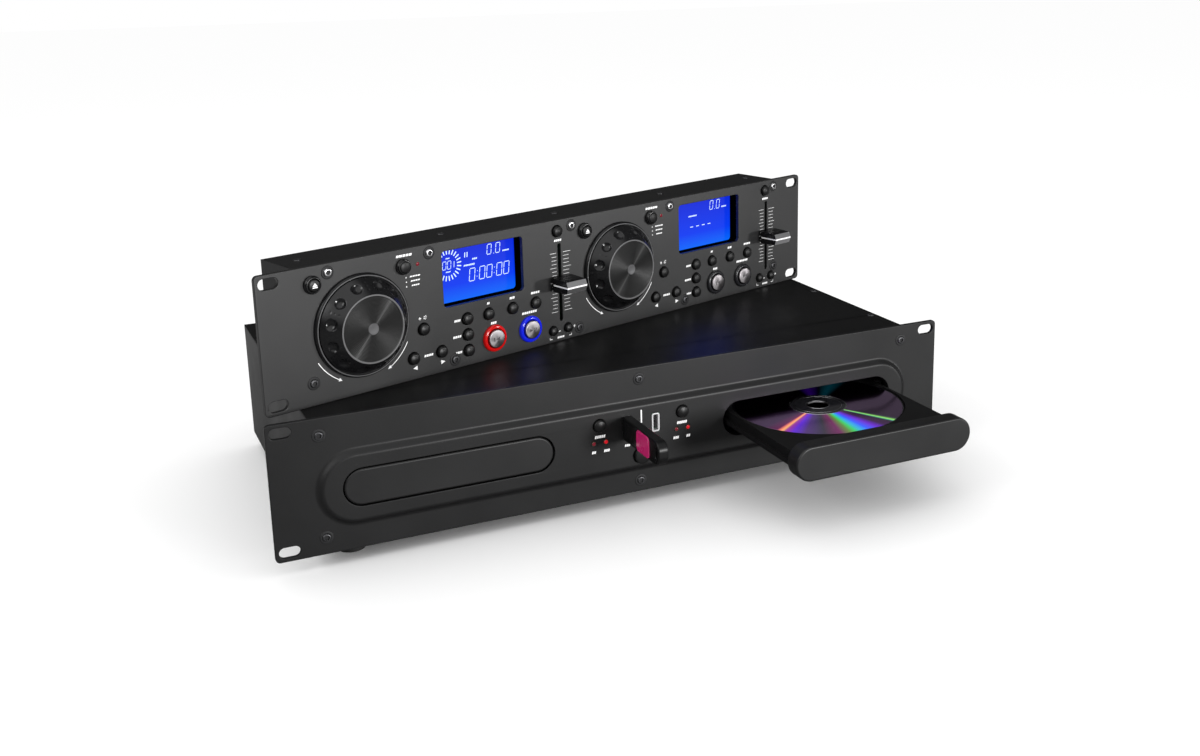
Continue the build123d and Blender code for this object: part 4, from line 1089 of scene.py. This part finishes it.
def pitch_slider(deck):
    """The fader: a ridged cap with two bright facets, a white band along its ridge and a blade."""
    node = deck + "_pitch_slider"
    low, high = local_box(node, CONTROL)
    place = (low.x + high.x) / 2, (low.z + high.z) / 2
    half_width, front = (high.x - low.x) / 2, low.y
    upper = [(front, 0.5), (front + 1.4, 4.2), (front + 2.6, 4.3), (front + 2.8, 3.9), (front + 3.4, 3.9),
             (front + 3.6, 4.4), (front + 4.8, 4.5), (front + 5.0, 4.1), (front + 5.6, 4.1),
             (front + 5.8, 4.6), (-3.0, 5.0), (-2.2, 5.0)]
    facet = [(front + 1.9, 4.1), (front + 1.33, 4.2), (front - 0.07, 0.55), (front + 0.5, 0.5)]
    facets = merged(*[across(section, half_width - 0.1) for section in (facet, mirrored_down(facet))])
    band = [(-3.2, -0.55), (front - 0.12, -0.55), (front - 0.12, 0.55), (-3.2, 0.55)]
    put_on(deck, "fader_cap", across(mirrored_down(upper) + upper, half_width), black_gloss, "slider_plastic",
           place, node, replaces=[node], angle=25)
    put_on(deck, "fader_facets", facets, silver_facet, "slider_plastic", place, node, angle=25)
    put_on(deck, "fader_band", across(band, half_width + 0.06), white_print, "slider_plastic", place, node,
           angle=25)
    put_on(deck, "fader_blade", block(-0.6, 0.6, -3.0, 13.0, -4.0, 4.0, 0.1), mechanism_steel,
           "mechanism_steel", place, node)


def screen_material():
    """A backlit blue panel, brighter towards its lower edge."""
    made = plain("screen_blue", (0.0, 0.002, 0.02), 0.4, Emission_Strength=0.95, Specular_IOR_Level=0.15)
    tree = made.node_tree
    place, split = add(tree, "TexCoord"), add(tree, "SeparateXYZ")
    wire(place, "Object", split, "Vector")
    level = add(tree, "MapRange", From_Min=-0.019, From_Max=0.019)
    wire(split, "Z", level, "Value")
    ramp = bands(tree, ((0.0, (0.0, 0.14, 1.0)), (0.3, (0.0, 0.045, 0.92)), (1.0, (0.002, 0.018, 0.70))))
    wire(level, "Result", ramp, "Fac")
    wire(ramp, "Color", tree.nodes[SHADER], "Emission Color")
    return made


def left_figures():
    """A dial of short strokes with figures in it, two bars, a time and bars for words."""
    x, z, inner, outer, count = -22.0, 6.6, 7.4, 10.8, 24
    parts = []
    for n in range(count):
        angle = math.radians(360 / count * n + 4)
        cos, sin = math.cos(angle), math.sin(angle)
        if x + outer * cos >= -31.8:
            ends = (x + inner * cos, z + inner * sin), (x + outer * cos, z + outer * sin)
            parts.append(stroke(ends, 0.8))
    return parts + [
        digits("00", -26.4, 3.9, 5.4, 0.4, 0.1, 0.72), dashes(x, 11.2, 3.2, 3, 0.8),
        dashes(x, 2.0, 3.8, 4, 0.8), stroke([(-17.2, 4.4), (-16.8, 8.6)], 0.4),
        stroke([(-8.3, 9.6), (-8.0, 13.0)], 0.7), stroke([(-6.4, 9.6), (-6.1, 13.0)], 0.7),
        dashes(-0.4, 7.6, 4.0, 3, 1.1), dashes(-5.0, 4.0, 9.0, 7, 1.1),
        digits("0:00:00", -5.6, -7.4, 8.6, 0.5, 0.12, 0.70),
    ]


def displays():
    """Each display: black walls behind the window, a lit screen and its figures."""
    screen = screen_material()
    figures = lit("screen_figures", (0.70, 0.85, 1.0), 1.0, base=(0.1, 0.15, 0.25))
    shape = rounded(DISPLAY_WIDTH, DISPLAY_HEIGHT, DISPLAY_CORNER, steps=6)
    walls = stack(shape, [(0.0, PANEL_THICKNESS - 0.2), (0.0, DISPLAY_SETBACK)])
    pane = stack(shape, [(0.3, DISPLAY_SETBACK - 0.3), (0.3, DISPLAY_SETBACK + 1.0)], True, True)
    right_figures = [dashes(-9.0, 6.2, 9.0, 6, 1.0), digits("----", -12.4, -6.2, 7.6, 0.6, 0.12, 0.84)]
    shared = [digits("0.0", 9.8, 8.6, 6.8, 0.5, 0.12, 0.8), dashes(25.6, 9.2, 5.6, 5, 1.0)]
    for deck, parts in (("left", left_figures()), ("right", right_figures)):
        place = display_place(deck)
        put_on(deck, "display_walls", walls, window_black, "display", place,
               replaces=["display_modules"] if deck == "left" else ())
        put_on(deck, "screen", pane, screen, "display", place)
        lines = moved(merged(*parts, *shared), y=DISPLAY_SETBACK - 0.36)
        put_on(deck, "figures", lines, figures, "display", place)


# ---- build everything ----
drive_front()
drive_marks()
drive_lamps()
for side, deck in zip(SIDES, DECKS):
    usb_mouth(side, deck)
for deck in DECKS:
    tray_fascia(deck)
disc()
stick()
drive_buttons()
feet()
drive_back = local_box("drive_chassis", DRIVE)[1].y
audio_sockets(drive_back)
link_sockets("drive", DRIVE, 1, 46.0, drive_back)
cover_pitch = (DRIVE_DEPTH - 2 * FIRST_COVER_SCREW) / 2
screws("drive", DRIVE, DRIVE_SCREWS, 0,
       [(side * SCREW_X, PANEL_THICKNESS + FIRST_COVER_SCREW + row * cover_pitch) for side in SIDES
        for row in range(3)],
       local_box("drive_top_cover", DRIVE)[1].z)

control_front()
control_marks()
jog_bezels()
jog_wheels()
for deck in DECKS:
    pitch_slider(deck)
control_buttons()
displays()
control_high = local_box("control_chassis", CONTROL)[1]
screws("control", CONTROL, CONTROL_SCREWS, 5, TOP_SCREWS, control_high.z)
link_sockets("control", CONTROL, -1, 44.0, control_high.y)

for node, material, width in (
        ("drive_chassis", case_paint, 0.3), ("drive_top_cover", cover_paint_painted_shade, 0.3),
        ("control_chassis", case_paint, 0.0), ("loader_frames", frame_plastic, 0.0),
        ("transport_mechanisms", mechanism_steel, 0.0), ("circuit_boards", board_green, 0.0),
        ("power_supply", black_matte, 0.0), ("control_board", board_green, 0.0),
        ("left_tray", tray_plastic, 0.3), ("right_tray", tray_plastic, 0.3)):
    dress(node, material, width)


# ---- floor, light and camera ----
def mirrored_less(tree, seen_value, slope, low, high):
    """A value that is lower for the rays that mirror it, where it follows a slope from low to high."""
    seen = add(tree, "LightPath")
    level = add(tree, "MapRange", To_Min=seen_value)
    wire(seen, "Is Glossy Ray", level, "Value")
    mirrored = add(tree, "MapRange", From_Min=low[0], From_Max=high[0], To_Min=low[1], To_Max=high[1])
    tree.links.new(slope, mirrored.inputs["Value"])
    wire(mirrored, "Result", level, "To Max")
    return level


def floor_material():
    """White paper that mirrors darker than it looks."""
    made = plain("floor_white", (0.98, 0.98, 0.98), 0.9, Specular_IOR_Level=0.0)
    tree = made.node_tree
    grey, place, split = add(tree, "CombineColor"), add(tree, "TexCoord"), add(tree, "SeparateXYZ")
    wire(place, "Object", split, "Vector")
    level = mirrored_less(tree, 0.98, split.outputs["Y"], (-0.1, 0.12), (0.35, 0.4))
    for part in ("Red", "Green", "Blue"):
        wire(level, "Result", grey, part)
    wire(grey, "Color", tree.nodes[SHADER], "Base Color")
    return made


def sky():
    """An even white sky that mirrors as a dark room with one soft light overhead."""
    world = bpy.data.worlds.new("studio")
    world.use_nodes = True
    tree = world.node_tree
    backdrop = tree.nodes["Background"]
    backdrop.inputs["Color"].default_value = (1.0, 1.0, 1.0, 1.0)
    place, facing = add(tree, "TexCoord"), add(tree, "VectorMath")
    facing.operation = "DOT_PRODUCT"
    facing.inputs[1].default_value = (-0.31, -0.41, 0.86)
    wire(place, "Generated", facing, 0)
    level = mirrored_less(tree, 1.0, facing.outputs["Value"], (0.6, 0.05), (0.85, 1.0))
    wire(level, "Result", backdrop, "Strength")
    world.cycles.sampling_method = "NONE"
    bpy.context.scene.world = world


def studio():
    """A white floor and wide soft lights that look at the object's middle."""
    mesh = bpy.data.meshes.new("floor")
    mesh.from_pydata([(-6, -6, 0), (6, -6, 0), (6, 6, 0), (-6, 6, 0)], [], [(0, 1, 2, 3)])
    mesh.materials.append(floor_material())
    floor = bpy.data.objects.new("floor", mesh)
    bpy.context.scene.collection.objects.link(floor)
    sky()
    for name, spot, power, size in (
            ("key", (0.8, -1.95, 0.24), 26.0, 0.4), ("fill", (-1.5, -0.3, 1.0), 6.0, 0.8),
            ("top", (-0.3, 0.9, 1.6), 1.0, 1.0), ("side", (1.6, -1.1, 0.12), 6.0, 0.2)):
        data = bpy.data.lights.new(name, "AREA")
        data.energy, data.size = power, size
        lamp = bpy.data.objects.new(name, data)
        lamp.location = spot
        lamp.rotation_euler = (Vector((0, 0, 0.09)) - Vector(spot)).to_track_quat("-Z", "Y").to_euler()
        bpy.context.scene.collection.objects.link(lamp)


def camera():
    """The photograph's view."""
    data = bpy.data.cameras.new("view")
    data.sensor_width, data.sensor_fit = 36.0, "HORIZONTAL"
    data.lens = 40.734
    data.shift_x, data.shift_y = -0.0833, -0.0833
    data.clip_start, data.clip_end = 0.01, 50.0
    seen = bpy.data.objects.new("view", data)
    bpy.context.scene.collection.objects.link(seen)
    forward, up = Vector((0.43438, 0.86759, -0.24209)).normalized(), Vector((0.11681, 0.21224, 0.97021))
    right = forward.cross(up).normalized()
    up = right.cross(forward).normalized()
    turn = Matrix((right, up, -forward)).transposed().to_4x4()
    seen.matrix_world = Matrix.Translation((-0.34853, -0.86366, 0.37259)) @ turn
    bpy.context.scene.camera = seen


studio()
camera()
bpy.context.scene.view_settings.view_transform = "Standard"
